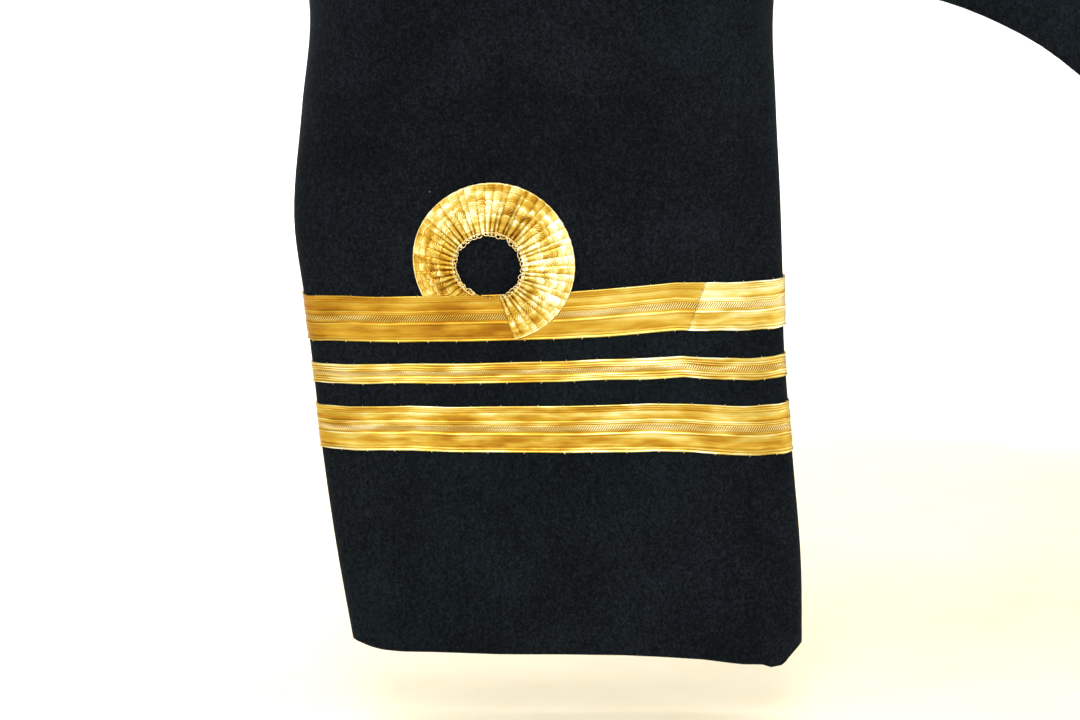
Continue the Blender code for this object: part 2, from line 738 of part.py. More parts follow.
def head_ring(side, ring):
    inner = Vector((side * ring.inner_x, 0, ring.inner_z))
    outer = Vector((side * ring.outer_x, 0, ring.outer_z))
    deep = (outer - inner) / 2
    wide = Vector((0, -ring.half_depth, 0))
    return [
        oval_point((inner + outer) / 2, wide, deep, column_angle(c), HEAD_ROUNDNESS)
        for c in range(SLEEVE_COLUMNS)
    ]


def sleeve_heights():
    """Heights above the cuff of the sleeve's level rows; the edges of every lace stripe are rows."""
    laced = [height for stripe in STRIPES for height in (stripe.low, stripe.low + stripe.width)]
    return sorted([*PLAIN_SLEEVE_ROWS, *laced])


def sleeve_grid(side):
    """All rings of one sleeve, from the cuff up to the armhole."""
    grid = [
        [sleeve_point(side, column_angle(c), up) for c in range(SLEEVE_COLUMNS)]
        for up in sleeve_heights()
    ]
    grid += [head_ring(side, ring) for ring in reversed(SLEEVE_HEAD)]
    grid.append(armhole_ring(side))
    return grid


def tube_normals(grid):
    """Outward normals of a tube made of rings."""
    rows, columns = len(grid), len(grid[0])
    normals = []
    for i in range(rows):
        middle = sum(grid[i], Vector()) / columns
        line = []
        for j in range(columns):
            along = grid[min(i + 1, rows - 1)][j] - grid[max(i - 1, 0)][j]
            across = grid[i][(j + 1) % columns] - grid[i][(j - 1) % columns]
            normal = along.cross(across).normalized()
            line.append(normal if normal.dot(grid[i][j] - middle) > 0 else -normal)
        normals.append(line)
    return normals


def make_sleeve(side, suffix, material):
    grid = sleeve_grid(side)
    normals = tube_normals(grid)
    panels = {
        "top_sleeve_" + suffix: range(FRONT_SEAM_COLUMN, BACK_SEAM_COLUMN + 1),
        "under_sleeve_" + suffix: range(BACK_SEAM_COLUMN, SLEEVE_COLUMNS + FRONT_SEAM_COLUMN + 1),
    }
    for name, columns in panels.items():
        part = [[row[c % SLEEVE_COLUMNS].copy() for c in columns] for row in grid]
        part_normals = [[row[c % SLEEVE_COLUMNS] for c in columns] for row in normals]
        pull_edge_in(part, "first_column", SEAM_GAP / 2)
        pull_edge_in(part, "last_column", SEAM_GAP / 2)
        wall(name, part, part_normals, CLOTH_WALL, material)


# Lace and curl


def stripe_height(stripe, across, share):
    """Height above the cuff: across is -1 to 1 between the sleeve's edges, share 0 to 1 up the stripe."""
    return stripe.low + stripe.width * share - stripe.sag * (1 - across * across)


def make_stripe(side, suffix, stripe, material):
    grid = []
    for share in (0.0, 1.0):
        row = []
        for column in range(SLEEVE_COLUMNS):
            angle = column_angle(column)
            height = stripe_height(stripe, math.cos(angle), share)
            row.append(sleeve_point(side, angle, height))
        grid.append(row)
    normals = tube_normals(grid)
    lift = LACE_GAP + LACE_WALL
    outer = [[p + n * lift for p, n in zip(row, line)] for row, line in zip(grid, normals)]
    return wall(f"{stripe.name}_{suffix}", outer, normals, LACE_WALL, material, ring=True)


def on_outer_face(side, across, up):
    """Point and normal of the sleeve's outer face, by distance across from its middle and height."""

    def surface(a, b):
        centre, wide, deep, roundness = sleeve_section(side, b)
        cosine = a / wide.length
        sine = math.sqrt(max(1 - abs(cosine) ** roundness, 0.0))
        angle = math.atan2(sine, math.copysign(abs(cosine) ** (roundness / 2), cosine))
        return oval_point(centre, wide, deep, angle, roundness)

    _, _, face_way = sleeve_axis(side, up)
    return surface(across, up), normal_of(surface, across, up, face_way, 1e-3)


def curl_lift(angle):
    """Height of the curl's underside off the cloth: over the stripe at its start, then on the cloth."""
    over_lace = LACE_GAP + LACE_WALL + CURL_GAP + SEAM_GAP
    share = (angle - CURL_OVER_LACE_UNTIL) / (CURL_ON_CLOTH_FROM - CURL_OVER_LACE_UNTIL)
    share = min(max(share, 0.0), 1.0)
    return blend(over_lace, CURL_GAP, share * share * (3 - 2 * share))


def curl_spot(angle, share):
    """Across and up of a point between the hole and the outer edge, kept above the stripe at its end."""
    cosine, sine = math.cos(angle), math.sin(angle)
    across = blend(HOLE_ACROSS + HOLE_RADIUS * cosine, CURL_ACROSS + CURL_RADIUS * cosine, share)
    up = blend(HOLE_UP + HOLE_RADIUS * sine, CURL_UP + CURL_RADIUS * sine, share)
    return across, up


def curl_reach(angle):
    """Share of the curl's width that shows above the stripe that covers its end."""
    if angle < math.pi:
        return 1.0
    stripe = STRIPES[-1]
    inner_up = curl_spot(angle, 0.0)[1]
    across, outer_up = curl_spot(angle, 1.0)
    limit = stripe_height(stripe, across / CURL_HALF_SLEEVE, 1.0) + SEAM_GAP * 2
    return min(max((inner_up - limit) / max(inner_up - outer_up, 1e-6), 0.05), 1.0)


def make_curl(side, suffix, material):
    """A round of lace, gathered into pleats at its inner edge. It ends where the stripe covers it."""
    steps = 2 * CURL_PLEATS
    outer, thick_normals = [], []
    for k in range(steps + 1):
        angle = blend(CURL_START, CURL_END, k / steps)
        reach = curl_reach(angle)
        points, line = [], []
        for share in CURL_RING_SHARES:
            point, normal = on_outer_face(side, *curl_spot(angle, share * reach))
            thickness = LACE_WALL + CURL_PLEAT_HEIGHT * (k % 2) * (1 - 0.5 * share)
            points.append(point + normal * (curl_lift(angle) + thickness))
            line.append(normal * thickness)
        outer.append(points)
        thick_normals.append(line)
    return wall(f"lace_curl_{suffix}", outer, thick_normals, 1.0, material)


# Buttons


def make_button(side, suffix, place, material):
    """A domed button on a short shank, with a raised rim."""
    centre = front_at(side, place.x, place.height)
    normal = front_normal(side, place.x, place.height)
    turn = Vector((0, 0, 1)).rotation_difference(normal).to_matrix().to_4x4()
    placed = Matrix.Translation(centre) @ turn
    bm = bmesh.new()
    rings = []
    for row in BUTTON_PROFILE:
        radius = BUTTON_RADIUS * row.radius_share
        ring = []
        for k in range(BUTTON_SIDES if radius else 1):
            angle = 2 * math.pi * k / BUTTON_SIDES
            spot = Vector((radius * math.cos(angle), radius * math.sin(angle), row.height))
            ring.append(bm.verts.new(placed @ spot))
        rings.append(ring)
    for low, high in zip(rings, rings[1:]):
        for k in range(BUTTON_SIDES):
            m = (k + 1) % BUTTON_SIDES
            if len(low) == 1:
                bm.faces.new((low[0], high[k], high[m]))
            elif len(high) == 1:
                bm.faces.new((low[k], low[m], high[0]))
            else:
                bm.faces.new((low[k], low[m], high[m], high[k]))
    return new_object(f"button_{place.name}_{suffix}", bm, material)


def main():
    for obj in list(bpy.data.objects):
        bpy.data.objects.remove(obj)
    navy = cloth_material("navy_cloth", (0.009, 0.011, 0.016), 0.9)
    gold = cloth_material("gold_lace", (0.72, 0.46, 0.10), 0.35, 1.0)
    gilt = cloth_material("gilt_button", (0.83, 0.60, 0.22), 0.2, 1.0)
    for side, suffix in ((RIGHT, "right"), (LEFT, "left")):
        make_front(side, "front_" + suffix, navy)
        make_back(side, "back_" + suffix, navy)
        make_lapel(side, "lapel_" + suffix, navy)
        make_sleeve(side, suffix, navy)
        for stripe in STRIPES:
            make_stripe(side, suffix, stripe, gold)
        make_curl(side, suffix, gold)
        for place in BUTTONS:
            make_button(side, suffix, place, gilt)
    make_collar("collar", navy)


main()
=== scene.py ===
"""The looks of a naval officer's mess jacket: napped navy cloth, gold lace with its curl, gilt buttons.

Metres, +Z up, front towards -Y. Every shape is worked out for the wearer's left side, at +X, and
mirrored for the right one. The camera looks at the outer face of the right cuff.
"""

import math
import random
from bisect import bisect_right
from collections import namedtuple

import bpy
import numpy as np
from mathutils import Matrix, Vector


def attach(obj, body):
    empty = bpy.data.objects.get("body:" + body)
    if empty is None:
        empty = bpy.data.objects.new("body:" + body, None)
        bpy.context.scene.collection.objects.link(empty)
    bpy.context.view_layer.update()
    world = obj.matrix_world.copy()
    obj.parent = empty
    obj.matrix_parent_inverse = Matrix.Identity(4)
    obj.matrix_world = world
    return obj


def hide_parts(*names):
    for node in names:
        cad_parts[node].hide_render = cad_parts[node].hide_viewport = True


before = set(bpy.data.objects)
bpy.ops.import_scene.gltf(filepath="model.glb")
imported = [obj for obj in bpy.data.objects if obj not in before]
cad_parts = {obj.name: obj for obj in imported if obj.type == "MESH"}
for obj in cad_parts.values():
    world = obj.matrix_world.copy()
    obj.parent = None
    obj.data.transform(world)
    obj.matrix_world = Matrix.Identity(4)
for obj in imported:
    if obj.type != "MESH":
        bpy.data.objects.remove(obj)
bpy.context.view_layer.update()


def table(fields, *rows):
    """Rows of a table, with their values named."""
    row_type = namedtuple("Row", fields)
    return [row_type(*row) for row in rows]



# Cloth and seams
CLOTH_WALL = 0.0020
EDGE_ROUND = 0.00056
LACE_WALL = 0.00018
LACE_TOP = 0.00055
SEAM_GAP = 0.0003
CLOSED_SEAM = -0.00016
LACE_GAP = 0.00008
CURL_GAP = 0.00015
SIDES = {"left": 1, "right": -1}

# Body: sections of the filled-out cloth, from below the hem up to the bottom of the armhole
BODY = table(
    "height half_width front_depth back_depth",
    (-0.580, 0.170, 0.129, 0.099), (-0.460, 0.169, 0.125, 0.098), (-0.400, 0.172, 0.127, 0.102),
    (-0.320, 0.184, 0.135, 0.117), (-0.245, 0.196, 0.141, 0.130),
)
BODY_ROUNDNESS = 2.4
ARMHOLE_BOTTOM = BODY[-1].height
SHOULDER_HALF_WIDTH = 0.215
NECK_HALF_WIDTH = 0.078
SHOULDER_SLOPE = 0.44
NAPE_DEPTH = 0.018
FRONT_SCOOP = math.radians(30)
BACK_SCOOP = math.radians(25)
SCOOP_CURVE = 0.8
NECKLINE_CURVE = 2.2
NECK_CENTRE = Vector((0, 0.012, 0.04))

# Hem: how far it drops below the side seam, by share of the way to the front edge or the centre back
SIDE_HEM = -0.462
FRONT_HEM = table(
    "share drop",
    (0.00, 0.0000), (0.25, 0.0010), (0.45, 0.0056), (0.60, 0.0163), (0.70, 0.0293), (0.85, 0.0580),
    (1.00, 0.0940),
)
BACK_HEM_DROP = 0.016
BACK_HEM_CURVE = 1.6

# Front edge and roll line of the lapel: distance from the centre line at a height
FRONT_EDGE = table(
    "height centre_distance",
    (-0.560, 0.029), (-0.400, 0.050), (-0.245, 0.064), (-0.100, 0.074), (0.020, NECK_HALF_WIDTH),
)

# Lapel: outline as seen from the front, and the lift of its cloth off the front
LAPEL_BREAK = -0.400
LAPEL_TOP = -0.065
LAPEL_EDGE = table(
    "share x height",
    (0.00, 0.0520, -0.398), (0.20, 0.0860, -0.330), (0.42, 0.1150, -0.250), (0.64, 0.1360, -0.170),
    (0.85, 0.1490, -0.100), (1.00, 0.1540, -0.066),
)
GORGE = table(
    "share drop",
    (0.00, 0.0000), (0.30, 0.0115), (0.58, 0.0205), (1.00, 0.0000),
)
LAPEL_FOLD = table(
    "outward lift",
    (-0.0025, -0.0018), (-0.0027, 0.0004), (-0.0019, 0.0028), (0.0004, 0.0044),
)
LAPEL_LIFT_AT_ROLL = 0.0046
LAPEL_LIFT_AT_EDGE = 0.0027
LAPEL_ROLL_WIDTH = 0.004
LAPEL_FIRST_ROW = 0.012
LAPEL_SHARES = (0.20, 0.40, 0.58, 0.72, 0.86, 1.00)

# Collar: height of its stand and the place of its lower edge on the cloth, from the gorge to the nape
COLLAR = table(
    "share stand fall_x fall_arch",
    (0.00, 0.0035, 0.1220, 0.700), (0.20, 0.0060, 0.1240, 0.810), (0.45, 0.0160, 0.1200, 1.000),
    (0.62, 0.0235, 0.1010, 1.190), (0.80, 0.0290, 0.0600, 1.350), (1.00, 0.0320, 0.0000, 1.440),
)
COLLAR_FOLD_WIDTH = 0.0048
# Over the fold: rise above the stand, and share of the fold's width
COLLAR_FOLD = [(-0.0012, 0), (0.0007, 0.22), (0.0007, 0.72), (-0.0008, 1)]
COLLAR_CLEARANCE = 0.0009
COLLAR_DRAPE = 1.3
COLLAR_FALL_COLUMNS = 5
GORGE_SHARE = 0.2
NECK_POINT_SHARE = 0.45
COLLAR_EDGE_LIFT = 0.0034

# Sleeve head: rings that fan from the armhole to the level top of the hanging sleeve
SLEEVE_HEAD = table(
    "inner_x inner_z outer_x outer_z half_depth",
    (0.2005, -0.2440, 0.2275, -0.0645, 0.0690),
    (0.2040, -0.2470, 0.2415, -0.0785, 0.0735),
    (0.2060, -0.2520, 0.2530, -0.1060, 0.0785),
    (0.2075, -0.2590, 0.2600, -0.1500, 0.0830),
    (0.2090, -0.2690, 0.2640, -0.2050, 0.0865),
    (0.2105, -0.2820, 0.2658, -0.2570, 0.0885),
)
HEAD_ROUNDNESS = 2.1

# Hanging sleeve, up from the cuff. Turn is how far its outer face turns from the side to the front,
# tilt is how much higher the front edge of a section is than the back edge.
CUFF_HEIGHT = -0.6635
SLEEVE = table(
    "up shift half_width half_thickness turn tilt roundness",
    (0.000, 0.0069, 0.0682, 0.0120, 45, -0.0066, 2.9),
    (0.030, 0.00525, 0.07035, 0.0108, 45, -0.0040, 3.0),
    (0.060, 0.0030, 0.0709, 0.0105, 45, 0.0000, 3.0),
    (0.090, 0.0012, 0.0710, 0.0115, 45, 0.0044, 2.9),
    (0.110, 0.0005, 0.0718, 0.0135, 45, 0.0066, 2.8),
    (0.135, -0.00065, 0.07285, 0.0170, 45, 0.0056, 2.6),
    (0.165, 0.00085, 0.07075, 0.0235, 44, 0.0020, 2.4),
    (0.195, 0.00255, 0.06905, 0.0280, 42, 0.0000, 2.3),
    (0.235, 0.00175, 0.07575, 0.0300, 32, 0.0000, 2.2),
    (0.275, 0.0015, 0.0815, 0.0300, 20, 0.0000, 2.2),
    (0.315, 0.0005, 0.0862, 0.0290, 9, 0.0000, 2.1),
    (0.3635, 0.0000, 0.0890, 0.0275, 0, 0.0000, 2.1),
)
SLEEVE_AXIS_X = 0.2385
CUFF_FORWARD = 0.016
CUFF_FORWARD_CURVE = 1.2
# The sleeve's end in the armhole, into the hole and off the body: its edge, then its allowance under the
# body's cloth
ARMHOLE_RINGS = table(
    "inset lift",
    (0.00054, 0.00036), (0.0007, -0.0012), (0.0004, -0.0027), (-0.0060, -0.0031),
)
ARMHOLE_STEP = 0.15
# At the shoulder's tip, where front and back meet in a point, the allowance goes straight under the seam
TIP_INWARD, TIP_NORMAL = Vector((0.94, 0, -0.35)), Vector((0.35, 0, 0.94))
TIP_REACH, TIP_FADE = 0.50, 0.30
FRONT_SEAM = math.radians(-18)
BACK_SEAM = math.radians(198)
HIGHEST_SLEEVE_ROW = 0.338
# The cuff's corners, cut off at its front edge and rounded at its back edge
FRONT_CORNER_FROM, FRONT_CORNER_RISE = 0.915, 0.0062
INNER_CORNER_FROM = 0.45
BACK_CORNER_FROM, BACK_CORNER_RISE = 0.86, 0.0016
CORNER_HEIGHT = 0.024
# How far the cuff's edge lies off its plain line, in millimetres, by share of the way to the front edge, 1,
# or the back edge, -1
CUFF_SHARES = (-1, -0.78, -0.65, -0.52, -0.34, -0.07, 0.20, 0.37, 0.55, 0.73, 0.82, 0.86, 0.91, 1)
CUFF_RISES = (-1.5, -1.5, -0.9, -0.6, -0.3, 0.6, 1.2, 1.2, 0.9, -0.3, -0.3, -1.2, -0.6, -0.9)
FACE_POWER = 0.69

# Rank lace
WIDE_LACE = 0.0143
NARROW_LACE = 0.0064
STRIPES = table(
    "name low width sag",
    ("lace_lower_wide", 0.0621, WIDE_LACE, 0.0004),
    ("lace_middle_narrow", 0.0836, NARROW_LACE, 0.0005),
    ("lace_upper_wide", 0.0972, WIDE_LACE, 0.0012),
)

# How far a stripe lies off its plain line on the outer face, in millimetres, at shares of the way from the
# sleeve's middle to its front edge, 1, or its back edge, -1
RISE_SHARES = (-1, -0.85, -0.6, -0.43, 0.06, 0.23, 0.40, 0.56, 0.65, 0.73, 0.85, 0.95, 1)
STRIPE_RISES = {
    "right": [
        (0.6, 0.3, 0.8, 0.3, 0.15, 0.45, 0.6, 0.0, -0.6, -1.05, -1.5, -1.4, -0.9),
        (0.4, 0.45, 0.75, 0.5, 0.0, 0.3, 0.3, 0.6, -0.3, -0.9, -1.3, -1.35, -1.05),
        (0.75, 0.75, 0.6, 0.6, 0.3, 0.45, 0.75, 1.2, 0.75, 0.45, -0.6, -0.9, -0.6),
    ],
    "left": [
        (0.4, 0.2, 0.5, 0.6, 0.2, 0.0, -0.2, 0.2, 0.1, -0.4, -0.7, -0.9, -0.6),
        (0.2, 0.4, 0.5, 0.3, 0.0, 0.1, 0.4, 0.3, -0.1, -0.4, -0.6, -0.8, -0.6),
        (0.3, 0.5, 0.7, 0.4, 0.1, -0.1, 0.2, 0.5, 0.6, 0.2, -0.2, -0.5, -0.3),
    ],
}

# Curl of gathered lace above the upper stripe: places on the outer face, across from its middle and up
CURL_ACROSS, CURL_UP, CURL_RADIUS = -0.0138, 0.1204, 0.0238
HOLE_ACROSS, HOLE_UP, HOLE_RADIUS = -0.0150, 0.1195, 0.0095
CURL_START = math.radians(-80)
CURL_END = math.radians(268)
CURL_PLEATS = 50
CURL_OVER_LACE_UNTIL = math.radians(-12)
CURL_ON_CLOTH_FROM = math.radians(22)

# Gilt buttons
BUTTON_RADIUS = 0.0110
BUTTONS = table(
    "name x height",
    ("top", 0.0800, -0.408), ("middle", 0.0720, -0.450), ("bottom", 0.0640, -0.492),
)

# Fineness of the worked-out points, before they are made finer still along smooth curves
FRONT_COLUMNS = 14
NECK_COLUMNS = 10
BODY_ROWS = 14
ARMHOLE_ROWS = 16
LAPEL_ROWS = 28
GORGE_STATIONS = 12
SLEEVE_ROWS = 82
SLEEVE_COLUMNS = 160
NECK_ANGLE_AT_CHEST = math.radians(17)
ARCH_MARGIN = 0.005
WIDTH_MARGIN = 0.0005


# Shape of the jacket


def blend(a, b, share):
    return a + (b - a) * share


def smooth_step(share):
    share = np.clip(share, 0.0, 1.0)
    return share * share * (3 - 2 * share)


def cubic(first, last, first_slope, last_slope, t):
    """A smooth curve from the first value to the last. The slopes are those over the whole of its span."""
    return (
        first * (2 * t**3 - 3 * t**2 + 1)
        + first_slope * (t**3 - 2 * t**2 + t)
        + last * (3 * t**2 - 2 * t**3)
        + last_slope * (t**3 - t**2)
    )


def row_at(rows, at):
    """The row at a place between those of a table sorted by its first value, on smooth curves."""
    keys = [row[0] for row in rows]
    last = len(keys) - 1
    i = min(max(bisect_right(keys, at) - 1, 0), last - 1)
    span = keys[i + 1] - keys[i]
    t = min(max((at - keys[i]) / span, 0.0), 1.0)

    def slope(k, values):
        low, high = max(k - 1, 0), min(k + 1, last)
        return (values[high] - values[low]) / (keys[high] - keys[low]) * span

    columns = (cubic(v[i], v[i + 1], slope(i, v), slope(i + 1, v), t) for v in zip(*rows))
    return type(rows[0])(*columns)


def rounded(value, roundness):
    """A sine or cosine bent so that a circle becomes a squarer oval."""
    return math.copysign(abs(value) ** (2 / roundness), value)


def body_ring(angle, height):
    """Below the armhole: angle 0 is the centre front, a right angle the side, pi the centre back."""
    section = row_at(BODY, height)
    half_depth = section.front_depth if math.cos(angle) > 0 else section.back_depth
    across = section.half_width * rounded(math.sin(angle), BODY_ROUNDNESS)
    return Vector((across, -half_depth * rounded(math.cos(angle), BODY_ROUNDNESS), height))


def shoulder_line(x):
    return -(abs(x) - NECK_HALF_WIDTH) * SHOULDER_SLOPE


def arch_half_width(arch):
    return blend(BODY[-1].half_width, SHOULDER_HALF_WIDTH, min(arch, 2 - arch))


def body_arch(x, arch):
    """Above the armhole's bottom: arch 0 is chest level, 1 the shoulder line, 2 back level."""
    chest = BODY[-1]
    rise = math.sin(arch * math.pi / 2)
    depth = chest.front_depth if arch < 1 else chest.back_depth
    across = min(max(abs(x) / arch_half_width(arch), 0.0), 1.0)
    sine = across ** (BODY_ROUNDNESS / 2)
    cosine = rounded(math.sqrt(max(1 - sine * sine, 0.0)), BODY_ROUNDNESS)
    height = chest.height + (shoulder_line(x) - chest.height) * rise
    return Vector((x, -depth * math.cos(arch * math.pi / 2) * cosine, height))


def arch_x(angle, arch):
    return arch_half_width(arch) * rounded(math.sin(angle), BODY_ROUNDNESS)


def arch_angle(x, arch):
    return math.asin(min(x / arch_half_width(arch), 1.0) ** (BODY_ROUNDNESS / 2))


def arch_at_height(x, height):
    """The arch value on the front where the cloth at that distance from the centre has that height."""
    rise = (height - ARMHOLE_BOTTOM) / (shoulder_line(x) - ARMHOLE_BOTTOM)
    return math.asin(min(max(rise, 0.0), 1.0)) * 2 / math.pi


def front_at(x, height):
    """The front's outer surface, by distance from the centre line and height."""
    if height >= ARMHOLE_BOTTOM:
        return body_arch(x, arch_at_height(x, height))
    share = min(x / row_at(BODY, height).half_width, 1.0)
    return body_ring(math.asin(share ** (BODY_ROUNDNESS / 2)), height)


def normal_of(surface, a, b, outward, step):
    """Unit normal of a surface of two values, on the side that faces the outward hint."""
    along_a = surface(a + step, b) - surface(a - step, b)
    along_b = surface(a, b + step) - surface(a, b - step)
    normal = along_a.cross(along_b).normalized()
    return normal if normal.dot(outward) > 0 else -normal


def from_axis(point):
    """A rough outward direction, away from the middle of the chest."""
    return Vector((point.x, point.y, max(point.z + 0.2, 0.0) * 0.5 + 1e-6))


def front_normal(x, height):
    nearest = max(x, WIDTH_MARGIN)
    return normal_of(front_at, nearest, height, from_axis(front_at(nearest, height)), 5e-4)


def arch_normal(x, arch):
    nearest = min(max(x, WIDTH_MARGIN), SHOULDER_HALF_WIDTH - WIDTH_MARGIN)
    inside = min(max(arch, ARCH_MARGIN), 2 - ARCH_MARGIN)
    return normal_of(body_arch, nearest, inside, from_axis(body_arch(nearest, inside)), 1e-3)


def armhole_shares():
    return [(1 + math.sin(math.pi * (i / ARMHOLE_ROWS - 0.5))) / 2 for i in range(ARMHOLE_ROWS + 1)]


def armhole_angle(rise, scoop):
    """The body angle of the armhole's edge at a share of its height."""
    return math.pi / 2 - scoop * math.sin(math.pi * rise**SCOOP_CURVE) ** SCOOP_CURVE


def armhole_point(rise, front):
    half_arch = math.asin(min(rise, 1.0)) * 2 / math.pi
    arch = half_arch if front else 2 - half_arch
    angle = armhole_angle(rise, FRONT_SCOOP if front else BACK_SCOOP)
    return body_arch(arch_x(angle, arch), arch)


def front_edge_x(height):
    return row_at(FRONT_EDGE, height).centre_distance


def level_seam(grid, first_shoulder_column, way):
    """Closes the side seam and the shoulder seam, both of which lie at y = 0."""
    for row in grid[: BODY_ROWS + 1]:
        row[-1].y = way * CLOSED_SEAM / 2
    for point in grid[-1][first_shoulder_column:]:
        point.y = way * CLOSED_SEAM / 2


def front_grid():
    grid = []
    shares = [j / FRONT_COLUMNS for j in range(FRONT_COLUMNS + 1)]
    for i in range(BODY_ROWS):
        points = []
        for share in shares:
            hem = SIDE_HEM - row_at(FRONT_HEM, 1 - share).drop
            height = blend(hem, ARMHOLE_BOTTOM, i / BODY_ROWS)
            edge_share = front_edge_x(height) / row_at(BODY, height).half_width
            edge = math.asin(edge_share ** (BODY_ROUNDNESS / 2))
            points.append(body_ring(blend(edge, math.pi / 2, share), height))
        grid.append(points)
    for rise in armhole_shares():
        arch = math.asin(rise) * 2 / math.pi
        edge = arch_angle(front_edge_x(ARMHOLE_BOTTOM * (1 - rise)), arch)
        angles = [blend(edge, armhole_angle(rise, FRONT_SCOOP), share) for share in shares]
        grid.append([body_arch(arch_x(angle, arch), arch) for angle in angles])
    level_seam(grid, 0, -1)
    return grid


def neck_x(share):
    """Distance from the centre of a point on the back neckline, by share of the way from the nape."""
    return NECK_HALF_WIDTH * math.sin(share * math.pi / 2)


def neckline_arch(x):
    """The arch value of the back neckline: low at the nape, up to the shoulder seam at the neck point."""
    share = min(x / NECK_HALF_WIDTH, 1.0)
    height = -NAPE_DEPTH * (1 - share**NECKLINE_CURVE)
    rise = (height - ARMHOLE_BOTTOM) / (shoulder_line(min(x, NECK_HALF_WIDTH)) - ARMHOLE_BOTTOM)
    return 2 - math.asin(min(rise, 1.0)) * 2 / math.pi


def back_xs(rise, arch):
    """Distances from the centre of the back's columns: to the neck point, then to the armhole."""
    neck = blend(NECK_ANGLE_AT_CHEST, arch_angle(NECK_HALF_WIDTH, 1.0), rise)
    outermost = armhole_angle(rise, BACK_SCOOP)
    inner = [neck_x(j / NECK_COLUMNS) / NECK_HALF_WIDTH for j in range(NECK_COLUMNS)]
    angles = [blend(neck, outermost, j / FRONT_COLUMNS) for j in range(FRONT_COLUMNS + 1)]
    return [share * arch_x(neck, arch) for share in inner] + [arch_x(a, arch) for a in angles]


def back_grid():
    grid = []
    for i in range(BODY_ROWS):
        points = []
        for x in back_xs(0.0, 2.0):
            angle_out = arch_angle(x, 2.0)
            hem = SIDE_HEM - BACK_HEM_DROP * (1 - angle_out / (math.pi / 2)) ** BACK_HEM_CURVE
            points.append(body_ring(math.pi - angle_out, blend(hem, ARMHOLE_BOTTOM, i / BODY_ROWS)))
        grid.append(points)
    for rise in armhole_shares():
        row_arch = 2 - math.asin(rise) * 2 / math.pi
        points = []
        for j, x in enumerate(back_xs(rise, row_arch)):
            arch = row_arch
            if j < NECK_COLUMNS:
                arch = 2 - (2 - row_arch) * (2 - neckline_arch(neck_x(j / NECK_COLUMNS)))
            points.append(body_arch(x, arch))
        grid.append(points)
    for row in grid:
        row[0].x = CLOSED_SEAM / 2
    level_seam(grid, NECK_COLUMNS, 1)
    return grid


def gorge_drop(share):
    """How far the lapel's top edge lies under the straight line from the roll to the tip."""
    return np.interp(share, [place.share for place in GORGE], [place.drop for place in GORGE])


def lapel_point(along, across):
    """A point of the lapel's outer surface: along from the break to the gorge, across from roll to edge."""
    roll_height = blend(LAPEL_BREAK, LAPEL_TOP, along)
    edge = row_at(LAPEL_EDGE, along)
    x = blend(front_edge_x(roll_height), edge.x, across)
    height = blend(roll_height, edge.height, across) - gorge_drop(across) * along**4
    lift = blend(LAPEL_LIFT_AT_ROLL, LAPEL_LIFT_AT_EDGE, across**0.8)
    return front_at(x, height) + front_normal(x, height) * lift


def lapel_grid():
    grid = []
    for i in range(LAPEL_ROWS + 1):
        along = blend(LAPEL_FIRST_ROW, 1.0, i / LAPEL_ROWS)
        height = blend(LAPEL_BREAK, LAPEL_TOP, along)
        x = front_edge_x(height)
        edge = front_at(x, height)
        normal = front_normal(x, height)
        outward = (front_at(x + 0.002, height) - edge).normalized()
        start = [edge + outward * p.outward + normal * p.lift for p in LAPEL_FOLD]
        first = min(0.5, LAPEL_ROLL_WIDTH / abs(row_at(LAPEL_EDGE, along).x - x))
        shares = [first] + [max(share, blend(first, 1.0, share)) for share in LAPEL_SHARES]
        grid.append(start + [lapel_point(along, share) for share in shares])
    return grid


def neckline(share):
    """Distance from the centre and arch value of the neck edge: 0 at the gorge, 1 at the nape."""
    if share < NECK_POINT_SHARE:
        height = blend(LAPEL_TOP + SEAM_GAP * 4, 0.0, share / NECK_POINT_SHARE)
        x = front_edge_x(height)
        return x, arch_at_height(x, height)
    x = neck_x(1 - (share - NECK_POINT_SHARE) / (1 - NECK_POINT_SHARE))
    return x, neckline_arch(x)


def neck_frame(share):
    """At the neck edge: its point, the cloth's normal, the way into the opening, and the stand's way up."""
    x, arch = neckline(share)
    edge = body_arch(x, arch)
    normal = arch_normal(x, arch)
    nearby = [body_arch(*neckline(min(max(share + s, 0.0), 1.0))) for s in (-0.01, 0.01)]
    along = (nearby[1] - nearby[0]).normalized()
    inward = along.cross(normal).normalized()
    if inward.dot(NECK_CENTRE - Vector((edge.x, edge.y, 0))) < 0:
        inward = -inward
    up = inward * max(inward.z, 0.0) + normal * max(normal.z, 0.05)
    return edge, normal, inward, up.normalized()


def lapel_top_height(x):
    """Height of the lapel's top edge at a distance from the centre."""
    roll_x = front_edge_x(LAPEL_TOP)
    tip = LAPEL_EDGE[-1]
    share = min(max((x - roll_x) / (tip.x - roll_x), 0.0), 1.0)
    return blend(LAPEL_TOP, tip.height, share) - gorge_drop(share)


